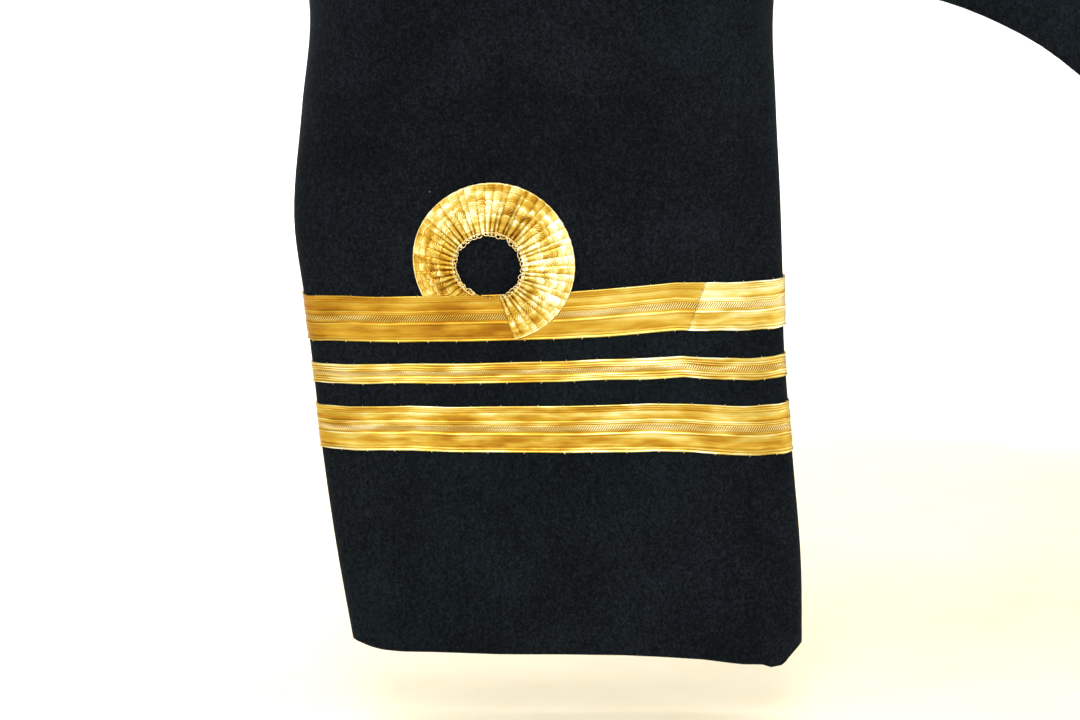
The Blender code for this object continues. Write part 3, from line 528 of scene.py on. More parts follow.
def collar_profile(share):
    """Visible points of the collar at one station: stand, fold, fall."""
    edge, normal, inward, up = neck_frame(share)
    cosine, sine = up.dot(inward), up.dot(normal)
    neckward = inward * sine - normal * cosine
    foot = edge + inward * COLLAR_CLEARANCE + neckward * CLOTH_WALL - normal * CLOTH_WALL * sine
    station = row_at(COLLAR, share)
    stand, fold = station.stand, COLLAR_FOLD_WIDTH
    points = [
        foot,
        foot + up * stand * 0.5,
    ]
    points += [foot + up * (stand + rise) - neckward * fold * out for rise, out in COLLAR_FOLD[:-1]]
    rise, out = COLLAR_FOLD[-1]
    start = foot + up * (stand + rise) - neckward * fold * out
    x, arch = neckline(share)
    near_gorge = max(1 - share / GORGE_SHARE, 0.0)
    for j in range(COLLAR_FALL_COLUMNS + 1):
        w = j / COLLAR_FALL_COLUMNS
        fx = blend(x, station.fall_x, w)
        on_gorge = arch_at_height(fx, lapel_top_height(fx) + SEAM_GAP * 4)
        fa = blend(blend(arch, station.fall_arch, w), on_gorge, near_gorge)
        lift = arch_normal(fx, fa) * COLLAR_EDGE_LIFT
        away = start - body_arch(x, fa if share < GORGE_SHARE else arch) - lift
        points.append(body_arch(fx, fa) + lift + away * (1 - w) ** COLLAR_DRAPE)
    return points


def mirrored(grid):
    """The same points on the wearer's other side."""
    return np.asarray(grid) * (-1, 1, 1)


def on_side(grid, side):
    return grid if SIDES[side] > 0 else mirrored(grid)


def collar_grid():
    shares = [NECK_POINT_SHARE * i / GORGE_STATIONS for i in range(GORGE_STATIONS)]
    shares += [blend(NECK_POINT_SHARE, 1.0, i / NECK_COLUMNS) for i in range(NECK_COLUMNS + 1)]
    left = np.array([[tuple(p) for p in collar_profile(share)] for share in shares])
    left[-1, :, 0] = 0.0
    return np.concatenate((mirrored(left), left[-2::-1]))


# Sleeve, as arrays


def sleeve_section(up):
    """Middle, half width and half thickness vectors, and roundness of the hanging sleeve, as one row."""
    section = row_at(SLEEVE, up)
    turn = math.radians(section.turn)
    front_way = Vector((-math.sin(turn), -math.cos(turn), 0))
    face_way = Vector((math.cos(turn), -math.sin(turn), 0))
    forward = CUFF_FORWARD * max(1 - up / SLEEVE[-1].up, 0.0) ** CUFF_FORWARD_CURVE
    centre = Vector((SLEEVE_AXIS_X, -forward, CUFF_HEIGHT + up))
    centre += front_way * section.shift
    wide = front_way * section.half_width
    wide.z = section.tilt / 2
    return [*centre, *wide, *(face_way * section.half_thickness), section.roundness]


SECTION_STEP = 0.0005
SECTION_UPS = np.arange(0.0, SLEEVE[-1].up + SECTION_STEP, SECTION_STEP)
SECTIONS = np.array([sleeve_section(up) for up in SECTION_UPS])


def sections_at(ups):
    """Centre, wide, deep and roundness at each height above the cuff."""
    columns = [np.interp(ups, SECTION_UPS, SECTIONS[:, k]) for k in range(SECTIONS.shape[1])]
    values = np.stack(columns, axis=-1)
    below = np.minimum(ups, 0)[..., None] * np.array((0, 0, 1))
    return values[..., 0:3] + below, values[..., 3:6], values[..., 6:9], values[..., 9:10]


def oval(centre, wide, deep, angles, roundness):
    cosine, sine = np.cos(angles)[..., None], np.sin(angles)[..., None]
    return (
        centre
        + wide * np.sign(cosine) * np.abs(cosine) ** (2 / roundness)
        + deep * np.sign(sine) * np.abs(sine) ** (2 / roundness)
    )


def plain_sleeve(angles, ups):
    """Outer surface of the hanging sleeve: angle 0 is the front edge, a right angle the outer face."""
    centre, wide, deep, roundness = sections_at(ups)
    return oval(centre, wide, deep, angles, roundness)


def angle_across(across, ups):
    """The angle of a point of the outer face that is a distance across from the sleeve's middle."""
    _, wide, _, roundness = sections_at(ups)
    cosine = across / np.linalg.norm(wide, axis=-1)
    sine = np.sqrt(np.clip(1 - np.abs(cosine) ** roundness[..., 0], 0, None))
    return np.arctan2(sine, np.sign(cosine) * np.abs(cosine) ** (roundness[..., 0] / 2))


def unit(vectors):
    return vectors / np.maximum(np.linalg.norm(vectors, axis=-1, keepdims=True), 1e-12)


# Creases: soft troughs, or ridges where the depth is below 0. Each has its place across and up its cloth,
# its slant in degrees, half its length, half its width, and its depth, in millimetres.

CREASE_BEND = 0.12
CUFF_FADE = 0.03
SLEEVE_GIRTH_RADIUS = 0.048


def crease_rows(*rows):
    metres = [(x / 1000, y / 1000, slant, *(size / 1000 for size in sizes)) for x, y, slant, *sizes in rows]
    return table("across up slant half_length half_width depth", *metres)


SLEEVE_CREASES = {
    "right": crease_rows(
        (55, 30, 78, 50, 11, 0.6), (95, 40, 100, 60, 13, 0.7), (70, 150, 60, 45, 10, 0.7),
        (105, 175, 118, 50, 12, 0.8), (30, 190, 70, 40, 9, 0.9), (135, 215, 15, 30, 8, 1.8),
        (20, 225, 160, 34, 8, 2), (60, 262, 20, 40, 10, 1.8), (120, 290, 150, 36, 10, 1.6),
        (85, 320, 100, 50, 12, 1.4), (-60, 120, 85, 60, 12, 0.9), (-85, 225, 20, 30, 9, 2),
        (-50, 250, 165, 34, 9, 2.2), (-75, 40, 95, 50, 12, 0.7),
    ),
    "left": crease_rows(
        (50, 35, 100, 55, 12, 0.7), (100, 28, 84, 48, 11, 0.6), (80, 160, 112, 50, 11, 0.8),
        (45, 178, 64, 42, 10, 0.8), (125, 205, 22, 34, 9, 1.9), (15, 232, 152, 30, 8, 1.8),
        (70, 250, 168, 44, 10, 1.7), (110, 300, 40, 36, 10, 1.4), (75, 330, 82, 45, 11, 1.2),
        (-65, 130, 98, 55, 11, 0.8), (-80, 235, 160, 32, 9, 2.1), (-45, 215, 24, 30, 9, 1.9),
        (-70, 50, 84, 50, 13, 0.7),
    ),
}
FRONT_CREASES = {
    "right": crease_rows(
        (150, -300, 78, 90, 13, 2.4), (176, -330, 96, 80, 11, -1.6), (120, -420, 62, 60, 12, 1.4),
        (165, -215, 55, 45, 10, 2.6), (140, -440, 100, 50, 14, -1.2), (100, -470, 30, 40, 11, 1.2),
    ),
    "left": crease_rows(
        (155, -310, 98, 85, 12, 2.2), (128, -360, 70, 70, 13, 1.4), (168, -225, 62, 50, 11, 2.5),
        (150, -430, 84, 50, 13, -1.4), (105, -460, 145, 40, 11, 1.2),
    ),
}
BACK_CREASES = {
    "right": crease_rows(
        (150, -260, 84, 110, 14, 2.8), (172, -300, 96, 90, 12, -1.8), (60, -360, 88, 90, 16, 1.8),
        (110, -120, 30, 50, 12, 1.6), (100, -420, 98, 50, 14, -1.4), (40, -90, 12, 45, 10, 1.4),
    ),
    "left": crease_rows(
        (146, -250, 96, 100, 13, 2.6), (170, -320, 84, 80, 12, -1.6), (75, -340, 94, 95, 15, 1.8),
        (118, -140, 150, 45, 11, 1.8), (50, -430, 80, 45, 14, -1.2),
    ),
}


def crease_depth(creases, across, up):
    """How far the cloth lies below its smooth form."""
    depth = np.zeros(np.broadcast(across, up).shape)
    for crease in creases:
        slant = math.radians(crease.slant)
        x, y = across - crease.across, up - crease.up
        along = x * math.cos(slant) + y * math.sin(slant)
        bend = CREASE_BEND * along * along / crease.half_length
        off = y * math.cos(slant) - x * math.sin(slant) + bend
        fade = np.exp(-((along / crease.half_length) ** 4))
        depth += crease.depth * fade * np.exp(-((off / crease.half_width) ** 2))
    return depth


def sleeve_depth(side, angles, ups):
    """Creases of a sleeve, which fade out towards its cuff."""
    across = SLEEVE_GIRTH_RADIUS * ((angles + math.pi / 2) % (2 * math.pi) - math.pi / 2)
    return crease_depth(SLEEVE_CREASES[side], across, ups) * smooth_step(ups / CUFF_FADE)


def share_across(angles):
    """Share of the way from the sleeve's middle to its front edge, 1, or its back edge, -1."""
    return np.sign(np.cos(angles)) * np.abs(np.cos(angles)) ** FACE_POWER


def cuff_edge(angles):
    """How far the cuff's edge lies above its plain line."""
    across = share_across(angles)
    front_from = np.where(np.sin(angles) > 0, FRONT_CORNER_FROM, INNER_CORNER_FROM)
    front = np.clip((across - front_from) / (1 - front_from), 0, 1)
    back = np.clip((-across - BACK_CORNER_FROM) / (1 - BACK_CORNER_FROM), 0, 1)
    rise = np.interp(across, CUFF_SHARES, CUFF_RISES) / 1000
    return rise + FRONT_CORNER_RISE * front**0.85 + BACK_CORNER_RISE * back**1.5


def dressed_sleeve(side, angles, ups):
    """The sleeve's outer surface with its creases, and its normals."""
    step = 1e-3
    along = plain_sleeve(angles, ups + step) - plain_sleeve(angles, ups - step)
    around = plain_sleeve(angles + step, ups) - plain_sleeve(angles - step, ups)
    normals = unit(np.cross(around, along))
    return plain_sleeve(angles, ups) - normals * sleeve_depth(side, angles, ups)[..., None], normals


# Finer points along smooth curves

NEAR_EDGE = (0.0007, 0.0018)


def lengths_along(grid):
    """Mean distance of each row of points from the first one."""
    steps = np.linalg.norm(np.diff(grid, axis=0), axis=-1).mean(axis=1)
    return np.concatenate(([0.0], np.cumsum(steps)))


def spread(length, spacing):
    """Places from 0 to a length, evenly spaced, with closer ones at both ends for the cloth's edges."""
    even = np.linspace(0, length, max(int(round(length / spacing)), 4) + 1)
    clear = NEAR_EDGE[-1] * 1.5
    inner = even[(even > clear) & (even < length - clear)]
    return np.concatenate(([0.0], NEAR_EDGE, inner, length - np.array(NEAR_EDGE[::-1]), [length]))


def through_rows(grid, spacing):
    """Rows of points on smooth curves through the given rows."""
    keys = lengths_along(grid)
    at = spread(keys[-1], spacing)
    i = np.clip(np.searchsorted(keys, at, side="right") - 1, 0, len(keys) - 2)
    slopes = np.empty_like(grid)
    slopes[1:-1] = (grid[2:] - grid[:-2]) / (keys[2:] - keys[:-2])[:, None, None]
    slopes[0] = (grid[1] - grid[0]) / (keys[1] - keys[0])
    slopes[-1] = (grid[-1] - grid[-2]) / (keys[-1] - keys[-2])
    span = (keys[i + 1] - keys[i])[:, None, None]
    t = (at - keys[i])[:, None, None] / span
    return cubic(grid[i], grid[i + 1], slopes[i] * span, slopes[i + 1] * span, t)


def finer(grid, row_spacing, column_spacing):
    points = np.array([[tuple(p) for p in row] for row in grid])
    points = through_rows(points, row_spacing)
    return through_rows(points.transpose(1, 0, 2), column_spacing).transpose(1, 0, 2)


def grid_normals(grid, outward):
    """Unit normals of a grid. They face the way of outward, a row, a column and a direction there."""
    normals = unit(np.cross(np.gradient(grid, axis=1), np.gradient(grid, axis=0)))
    row, column, direction = outward
    if np.dot(normals[row, column], direction) < 0:
        normals = -normals
    return normals


# Meshes


def placed(name, data):
    """A new object with that data, in the scene."""
    obj = bpy.data.objects.new(name, data)
    bpy.context.scene.collection.objects.link(obj)
    return obj


def plain_mesh(name, points, faces, material):
    mesh = bpy.data.meshes.new(name)
    mesh.from_pydata(points.tolist(), [], faces)
    mesh.materials.append(material)
    return placed(name, mesh)


def mesh_object(name, points, faces, material, uvs=None):
    obj = plain_mesh(name, points, faces, material)
    if uvs is not None:
        layer = obj.data.uv_layers.new(name="UVMap")
        corner = np.empty(len(obj.data.loops), dtype=np.int32)
        obj.data.loops.foreach_get("vertex_index", corner)
        layer.data.foreach_set("uv", uvs[corner].astype(np.float32).ravel())
    obj.data.shade_smooth()
    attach(obj, "root")
    return obj


def quads(first, rows, columns, flip=False):
    faces = []
    for i in range(rows - 1):
        for j in range(columns - 1):
            a = first + i * columns + j
            face = (a, a + 1, a + columns + 1, a + columns)
            faces.append(face[::-1] if flip else face)
    return faces


def rim_loop(rows, columns):
    """Places of a grid's edge points, once round."""
    return (
        [(0, j) for j in range(columns - 1)]
        + [(i, columns - 1) for i in range(rows - 1)]
        + [(rows - 1, j) for j in range(columns - 1, 0, -1)]
        + [(i, 0) for i in range(rows - 1, 0, -1)]
    )


def is_flipped(grid, normals):
    """Whether faces made from the grid in its own order would face away from the normals."""
    i, j = grid.shape[0] // 2, grid.shape[1] // 2
    natural = np.cross(grid[i, j + 1] - grid[i, j], grid[i + 1, j] - grid[i, j])
    return np.dot(natural, normals[i, j]) < 0


def cloth_wall(name, side, grid, normals):
    """A closed wall with rounded edges: outer skin, inner skin, and a rim point half way through."""
    grid, normals = on_side(grid, side), on_side(normals, side)
    rows, columns = grid.shape[:2]
    outer, inner = grid.copy(), grid - normals * CLOTH_WALL
    middle = grid - normals * CLOTH_WALL / 2
    for skin in (outer, inner):
        for edge, near in ((0, 2), (-1, -3)):
            skin[edge] += unit(skin[near] - skin[edge]) * EDGE_ROUND
            skin[:, edge] += unit(skin[:, near] - skin[:, edge]) * EDGE_ROUND
    loop = rim_loop(rows, columns)
    rim = np.array([middle[i, j] for i, j in loop])
    points = np.concatenate((outer.reshape(-1, 3), inner.reshape(-1, 3), rim))
    flip = is_flipped(grid, normals)
    faces = quads(0, rows, columns, flip) + quads(rows * columns, rows, columns, not flip)
    start = 2 * rows * columns
    for k, (i, j) in enumerate(loop):
        m = (k + 1) % len(loop)
        a, b = i * columns + j, loop[m][0] * columns + loop[m][1]
        low, high = start + k, start + m
        strips = (
            (b, a, low, high),
            (high, low, rows * columns + a, rows * columns + b),
        )
        faces += [face[::-1] if flip else face for face in strips]
    return mesh_object(name, points, faces, NAVY)


def lace_strip(name, side, grid, normals, thickness, uvs, material):
    """A closed strip: a finely worked outer skin over a plain underside, a single face wide."""
    grid, normals = on_side(grid, side), on_side(normals, side)
    rows, columns = grid.shape[:2]
    under = [grid[k] - normals[k] * thickness[k][:, None] for k in (0, -1)]
    points = np.concatenate((grid.reshape(-1, 3), under[0], under[1]))
    all_uvs = np.concatenate((uvs.reshape(-1, 2), uvs[0], uvs[-1]))
    flip = is_flipped(grid, normals)
    faces = quads(0, rows, columns, flip)
    low, high = rows * columns, rows * columns + columns
    last = (rows - 1) * columns
    extra = []
    for j in range(columns - 1):
        extra.append((j + 1, j, low + j, low + j + 1))
        extra.append((last + j, last + j + 1, high + j + 1, high + j))
        extra.append((low + j + 1, low + j, high + j, high + j + 1))
    for j, way in ((0, 1), (columns - 1, -1)):
        end = [i * columns + j for i in range(rows)]
        extra.append(tuple((end + [high + j, low + j])[::way]))
    faces += [face[::-1] if flip else face for face in extra]
    return mesh_object(name, points, faces, material, all_uvs)


# Materials


def set_stops(ramp, stops):
    """Gives a colour ramp its stops, each a place and a colour."""
    elements = ramp.color_ramp.elements
    while len(elements) < len(stops):
        elements.new(0.5)
    for element, (place, colour) in zip(elements, stops):
        element.position = place
        element.color = (*colour, 1)


class Nodes:
    """A material's node tree, with short ways to add nodes."""

    def __init__(self, name):
        self.material = bpy.data.materials.new(name)
        self.material.use_nodes = True
        self.tree = self.material.node_tree
        self.shader = self.tree.nodes["Principled BSDF"]

    def put(self, socket, value):
        if isinstance(value, bpy.types.NodeSocket):
            self.tree.links.new(value, socket)
        elif value is not None:
            socket.default_value = value

    def add(self, kind, inputs=None, **settings):
        node = self.tree.nodes.new("ShaderNode" + kind)
        for key, value in settings.items():
            setattr(node, key, value)
        for key, value in (inputs or {}).items():
            self.put(node.inputs[key], value)
        return node

    def math(self, operation, a, b=None, c=None):
        node = self.add("Math", operation=operation)
        for socket, value in zip(node.inputs, (a, b, c)):
            self.put(socket, value)
        return node.outputs[0]

    def noise(self, vector, scale, detail=2.0, roughness=0.5, distortion=0.0):
        names = ("Vector", "Scale", "Detail", "Roughness", "Distortion")
        values = (vector, scale, detail, roughness, distortion)
        return self.add("TexNoise", dict(zip(names, values))).outputs["Fac"]

    def pair(self, x, y):
        """Two values as a vector."""
        return self.add("CombineXYZ", {"X": x, "Y": y}).outputs[0]

    def stretched(self, vector, scale):
        return self.add("Mapping", {"Vector": vector, "Scale": scale}).outputs[0]

    def ramp(self, value, stops):
        node = self.add("ValToRGB", {"Fac": value})
        set_stops(node, stops)
        return node.outputs["Color"]

    def range(self, value, low, high, to_low=0.0, to_high=1.0):
        node = self.add("MapRange", clamp=True)
        for socket, number in zip(node.inputs, (value, low, high, to_low, to_high)):
            self.put(socket, number)
        return node.outputs[0]

    def mix(self, share, a, b):
        node = self.add("Mix", data_type="RGBA")
        for socket, value in ((node.inputs[0], share), (node.inputs[6], a), (node.inputs[7], b)):
            self.put(socket, value)
        return node.outputs[2]

    def bump(self, height, strength, distance):
        node = self.add("Bump", {"Height": height, "Strength": strength, "Distance": distance})
        return node.outputs[0]

    def finish(self, **sockets):
        for name, value in sockets.items():
            self.put(self.shader.inputs[name.replace("_", " ")], value)
        return self.material


def navy_cloth():
    """Fine felted wool: a short nap with cloudy shade, and a few pale specks of lint."""
    n = Nodes("navy_wool")
    place = n.add("TexCoord").outputs["Object"]
    nap = n.noise(place, 1250, 3, 0.7)
    fibres = n.noise(n.stretched(place, (1, 1, 0.75)), 800, 4, 0.75, 0.8)
    clouds = n.noise(place, 34, 3, 0.6)
    wide_clouds = n.noise(place, 9, 1)
    shade = n.math("ADD", n.math("MULTIPLY", nap, 0.55), n.math("MULTIPLY", fibres, 0.45))
    tone = n.math("ADD", n.math("MULTIPLY", shade, 0.8), n.math("MULTIPLY", clouds, 0.2))
    colour = n.ramp(
        tone,
        [
            (0.39, (0.0003, 0.0006, 0.0011)),
            (0.50, (0.0022, 0.0034, 0.0051)),
            (0.61, (0.0070, 0.0098, 0.0136)),
        ],
    )
    teal = n.range(wide_clouds, 0.35, 0.65, 0.0, 0.5)
    blue = n.ramp(tone, [(0.39, (0.0003, 0.0010, 0.0013)), (0.61, (0.0052, 0.0100, 0.0130))])
    colour = n.mix(teal, colour, blue)
    specks = n.add("TexVoronoi", {"Vector": place, "Scale": 150.0, "Randomness": 1.0})
    near = n.range(specks.outputs["Distance"], 0.030, 0.060, 1.0, 0.0)
    chosen = n.add("SeparateColor", {"Color": specks.outputs["Color"]}).outputs[0]
    lint = n.math("MULTIPLY", near, n.range(chosen, 0.965, 0.975))
    colour = n.mix(n.math("MULTIPLY", lint, 0.5), colour, (0.16, 0.19, 0.20, 1))
    height = n.math("ADD", shade, n.math("MULTIPLY", lint, 0.6))
    return n.finish(
        Base_Color=colour,
        Roughness=n.range(shade, 0.3, 0.7, 0.97, 0.80),
        Normal=n.bump(height, 0.6, 0.0005),
        Sheen_Weight=0.03,
        Sheen_Roughness=0.5,
        Sheen_Tint=(0.45, 0.60, 0.75, 1),
        Specular_IOR_Level=0.05,
    )


def waves(n, value, pitch, turns=0.0):
    """A wave from 0 to 1 along a value, with that pitch."""
    angle = n.math("MULTIPLY_ADD", value, 2 * math.pi / pitch, turns)
    return n.math("MULTIPLY_ADD", n.math("SINE", angle), 0.5, 0.5)


# Painted light and shade across the lace, by share of its width: painted highlights on the cords, painted
# shade in the grooves between them, and the wide lace's flat bands painted lighter towards their top
WIDE_LIGHT_AND_SHADE = [
    (0.000, 0.70), (0.035, 0.86), (0.060, 0.16), (0.085, 0.66), (0.120, 0.22), (0.150, 0.44),
    (0.250, 0.40), (0.340, 0.50), (0.365, 0.30), (0.395, 0.86), (0.425, 0.24), (0.450, 0.44),
    (0.590, 0.44), (0.605, 0.20), (0.622, 0.84), (0.640, 0.30), (0.660, 0.88), (0.685, 0.26),
    (0.710, 0.42), (0.790, 0.54), (0.845, 0.68), (0.862, 0.22), (0.888, 0.62), (0.912, 0.24),
    (0.936, 0.60), (0.958, 0.26), (0.985, 0.84), (1.000, 0.60),
]
NARROW_LIGHT_AND_SHADE = [
    (0.00, 0.62), (0.055, 0.84), (0.13, 0.20), (0.20, 0.84), (0.25, 0.26), (0.30, 0.86), (0.36, 0.24),
    (0.40, 0.48), (0.60, 0.48), (0.645, 0.24), (0.69, 0.86), (0.74, 0.24), (0.79, 0.86), (0.845, 0.22),
    (0.89, 0.64), (0.95, 0.88), (1.00, 0.60),
]
# Gold colour by tone, which holds the gold's own variation and its painted light: the darkest stops colour
# painted shade, the palest painted highlights
GOLD_SHADE_TO_HIGHLIGHT = [
    (0.00, (0.12, 0.042, 0.004)),
    (0.22, (0.29, 0.130, 0.010)),
    (0.42, (0.41, 0.240, 0.024)),
    (0.58, (0.49, 0.340, 0.058)),
    (0.74, (0.60, 0.490, 0.155)),
    (0.88, (0.74, 0.670, 0.360)),
    (1.00, (0.92, 0.880, 0.660)),
]
# Painted light and shade round a curl, from its start to its end, around one half, as the light falls on
# the turned lace
CURL_PAINTED_LIGHT = [
    (0.00, 0.52), (0.07, 0.56), (0.14, 0.68), (0.23, 0.74), (0.29, 0.70), (0.34, 0.40), (0.42, 0.44),
    (0.47, 0.54), (0.55, 0.66), (0.62, 0.62), (0.69, 0.46), (0.78, 0.38), (0.92, 0.38), (1.00, 0.46),
]
PLEAT_PITCH = 0.0024
PANES_ACROSS, PANE_SHIFT = 6.6, 0.25
SLASH_PITCH = 0.00070
WEFT_PITCH = 0.00046


def banded(n, across, light_and_shade):
    """The painted light and shade of each cord, groove and flat band across the lace."""
    return n.ramp(across, [(share, (tone, tone, tone)) for share, tone in light_and_shade])


def slash_weave(n, along, metres_across, across, slash_rows):
    """Rows of slanted stitches: where they are, and their waves."""
    inside_all, slashes = 0.0, 0.0
    for low, high, slant in slash_rows:
        above = n.range(across, low - 0.004, low + 0.012)
        inside = n.math("MULTIPLY", above, n.range(across, high + 0.004, high - 0.012))
        skewed = n.math("MULTIPLY_ADD", metres_across, slant, along)
        slashes = n.math("ADD", slashes, n.math("MULTIPLY", waves(n, skewed, SLASH_PITCH), inside))
        inside_all = n.math("ADD", inside_all, inside)
    return inside_all, slashes


def pleat_shade(n, along, across, metres_across):
    """Painted light and shade of a gathered lace: painted shade in the crease between pleats, panes painted
    lighter or darker as if each caught the light differently, and one flank of each pleat painted lighter.
    """
    phase = n.math("DIVIDE", along, PLEAT_PITCH)
    within = n.math("FRACT", phase)
    off_crown = n.math("ABSOLUTE", n.math("SUBTRACT", within, 0.5))
    # painted shade in the crease between pleats, deepest towards the inner edge
    crease = n.math("MULTIPLY", n.range(off_crown, 0.36, 0.50), n.range(across, 0.0, 0.8, 0.62, 0.12))
    pane_along = n.math("FLOOR", phase)
    pane_across = n.math("FLOOR", n.math("MULTIPLY_ADD", across, PANES_ACROSS, PANE_SHIFT))
    pane = n.pair(pane_along, pane_across)
    light = n.add("TexWhiteNoise", {"Vector": pane}, noise_dimensions="2D").outputs["Value"]
    lit = n.math("MULTIPLY_ADD", light, 0.26, -0.63)
    lit = n.math("ADD", lit, banded(n, n.math("DIVIDE", phase, CURL_PLEATS), CURL_PAINTED_LIGHT))
    lit_flank = n.math("MULTIPLY_ADD", within, 0.24, -0.12)
    place = n.pair(along, metres_across)
    blotches = n.range(n.noise(place, 300, 2, 0.7), 0.35, 0.65, -0.20, 0.20)
    return n.math("SUBTRACT", n.math("ADD", n.math("ADD", lit, lit_flank), blotches), crease)


def gold_lace(name, width, light_and_shade, slash_rows, shift=0.0, pleated=False, dull=None, contrast=1.0):
    """Woven gilt wire. The UV map holds metres along the lace and the share of the way across it."""
    slash_strength = 0.4 if pleated else 1.0
    n = Nodes(name)
    uv = n.add("SeparateXYZ", {"Vector": n.add("UVMap", uv_map="UVMap").outputs[0]})
    along, across = uv.outputs[0], uv.outputs[1]
    metres_across = n.math("MULTIPLY", across, width)
    flow = n.pair(along, n.math("MULTIPLY", metres_across, 4.0))
    fine_flow = n.pair(along, n.math("MULTIPLY", metres_across, 70.0))
    patches = n.range(n.noise(flow, 85, 2, 0.5), 0.36, 0.64, -0.18 * contrast, 0.18 * contrast)
    slow_patches = n.range(n.noise(n.stretched(flow, (1, 0.4, 1)), 30, 1), 0.35, 0.65, -0.08, 0.08)
    streaks = n.math("MULTIPLY_ADD", n.noise(fine_flow, 40, 3, 0.65), 0.5 * contrast, -0.25 * contrast)
    weft = waves(n, along, WEFT_PITCH)
    slash_area, slashes = slash_weave(n, along, metres_across, across, slash_rows)
    gap_shade = n.math("SUBTRACT", slash_area, slashes)
    place = n.pair(along, metres_across)
    strength = n.range(n.noise(place, 55, 1), 0.35, 0.65, 0.45 * contrast, 1.1 * contrast)
    # bands: the painted highlights and painted shade of the cords, grooves and flat bands
    bands = n.math("MULTIPLY_ADD", n.math("SUBTRACT", banded(n, across, light_and_shade), 0.46), strength, 0.46)
    tone = n.math("ADD", bands, n.math("ADD", patches, slow_patches))
    tone = n.math("ADD", tone, streaks)
    # The stitches get a painted highlight and the gaps between them painted shade
    tone = n.math("MULTIPLY_ADD", slashes, 0.42 * slash_strength, tone)
    tone = n.math("MULTIPLY_ADD", gap_shade, -0.55 * slash_strength, tone)
    tone = n.math("MULTIPLY_ADD", weft, 0.05, n.math("ADD", tone, shift))
    if dull is not None:
        first, last, change = dull
        tone = n.math("ADD", tone, n.range(along, first, last, 0.0, change))
    if pleated:
        tone = n.math("ADD", tone, pleat_shade(n, along, across, metres_across))
    height = n.math("MULTIPLY_ADD", slashes, 0.8, n.math("MULTIPLY_ADD", weft, 0.15, streaks))
    ripple = n.math("MULTIPLY_ADD", n.noise(flow, 160, 2), 1.4, height)
    return n.finish(
        Base_Color=n.ramp(tone, GOLD_SHADE_TO_HIGHLIGHT),
        Metallic=1.0,
        Roughness=n.range(patches, -0.18, 0.18, 0.40, 0.28),
        Normal=n.bump(ripple, 0.5, 0.00012),
    )


def gold_thread():
    """Fine gilt wire, twisted."""
    n = Nodes("gold_thread")
    place = n.add("TexCoord").outputs["Object"]
    twist = n.noise(place, 2600, 2)
    colour = n.ramp(twist, [(0.3, (0.60, 0.36, 0.08)), (0.7, (0.98, 0.88, 0.55))])
    return n.finish(Base_Color=colour, Metallic=1.0, Roughness=0.3, Normal=n.bump(twist, 0.5, 0.0001))


def gilt():
    """Polished gilt, a little worn and dulled."""
    n = Nodes("gilt_metal")
    place = n.add("TexCoord").outputs["Object"]
    wear = n.noise(place, 260, 4, 0.6)
    fine = n.noise(place, 1800, 2)
    shades = [(0.30, (0.62, 0.38, 0.10)), (0.55, (0.86, 0.62, 0.22)), (0.75, (0.98, 0.80, 0.42))]
    return n.finish(
        Base_Color=n.ramp(wear, shades),
        Metallic=1.0,
        Roughness=n.range(wear, 0.3, 0.7, 0.34, 0.16),
        Normal=n.bump(fine, 0.12, 0.0001),
    )


NAVY = navy_cloth()
SLASHES_WIDE = [(0.455, 0.585, 0.7)]
DULL_BACK = (0.002, 0.010, -0.15)
WIDE_GOLD = gold_lace("gold_lace_wide", WIDE_LACE, WIDE_LIGHT_AND_SHADE, SLASHES_WIDE)
UPPER_GOLD = gold_lace(
    "gold_lace_upper", WIDE_LACE, WIDE_LIGHT_AND_SHADE, SLASHES_WIDE, dull=DULL_BACK, contrast=0.62
)
# The lifted end of the upper stripe: the same lace painted lighter, a painted highlight
LIT_GOLD = gold_lace("gold_lace_lit", WIDE_LACE, WIDE_LIGHT_AND_SHADE, SLASHES_WIDE, shift=0.17)
CURL_GOLD = gold_lace(
    "gold_lace_curled", WIDE_LACE, WIDE_LIGHT_AND_SHADE, SLASHES_WIDE, shift=0.13, pleated=True, contrast=0.75
)
NARROW_GOLD = gold_lace("gold_lace_narrow", NARROW_LACE, NARROW_LIGHT_AND_SHADE, [(0.41, 0.62, 0.7)])
THREAD = gold_thread()
GILT = gilt()


def dress(obj, node):
    """Hides the node of the part in whose place a visible piece stands."""
    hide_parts(node)


# Cloth pieces

BODY_SPACING = 0.0055
SLEEVE_SPACING = 0.0042
FOLDED_SPACING = (0.005, 0.0022)
INNER_FADE, OUTER_FADE, UPPER_FADE = 0.12, 0.06, 0.10


def cloth_piece(node, side, grid, normals):
    """The visible cloth in place of a node of the part."""
    dress(cloth_wall(f"cloth_{node}_{side}", side, grid, normals), f"{node}_{side}")


def body_cloth(node, side, grid, creases, outward):
    """A front or a back with its creases, which fade out at its seams and its lapel or neck edge."""
    normals = grid_normals(grid, outward)
    rows = np.linspace(0, 1, grid.shape[0])[:, None]
    columns = np.linspace(0, 1, grid.shape[1])[None, :]
    fade = smooth_step(columns / INNER_FADE) * smooth_step((1 - columns) / OUTER_FADE)
    fade = fade * smooth_step((1 - rows) / UPPER_FADE)
    depth = crease_depth(creases, grid[..., 0], grid[..., 2]) * fade
    shaped = grid - normals * depth[..., None]
    cloth_piece(node, side, shaped, grid_normals(shaped, outward))


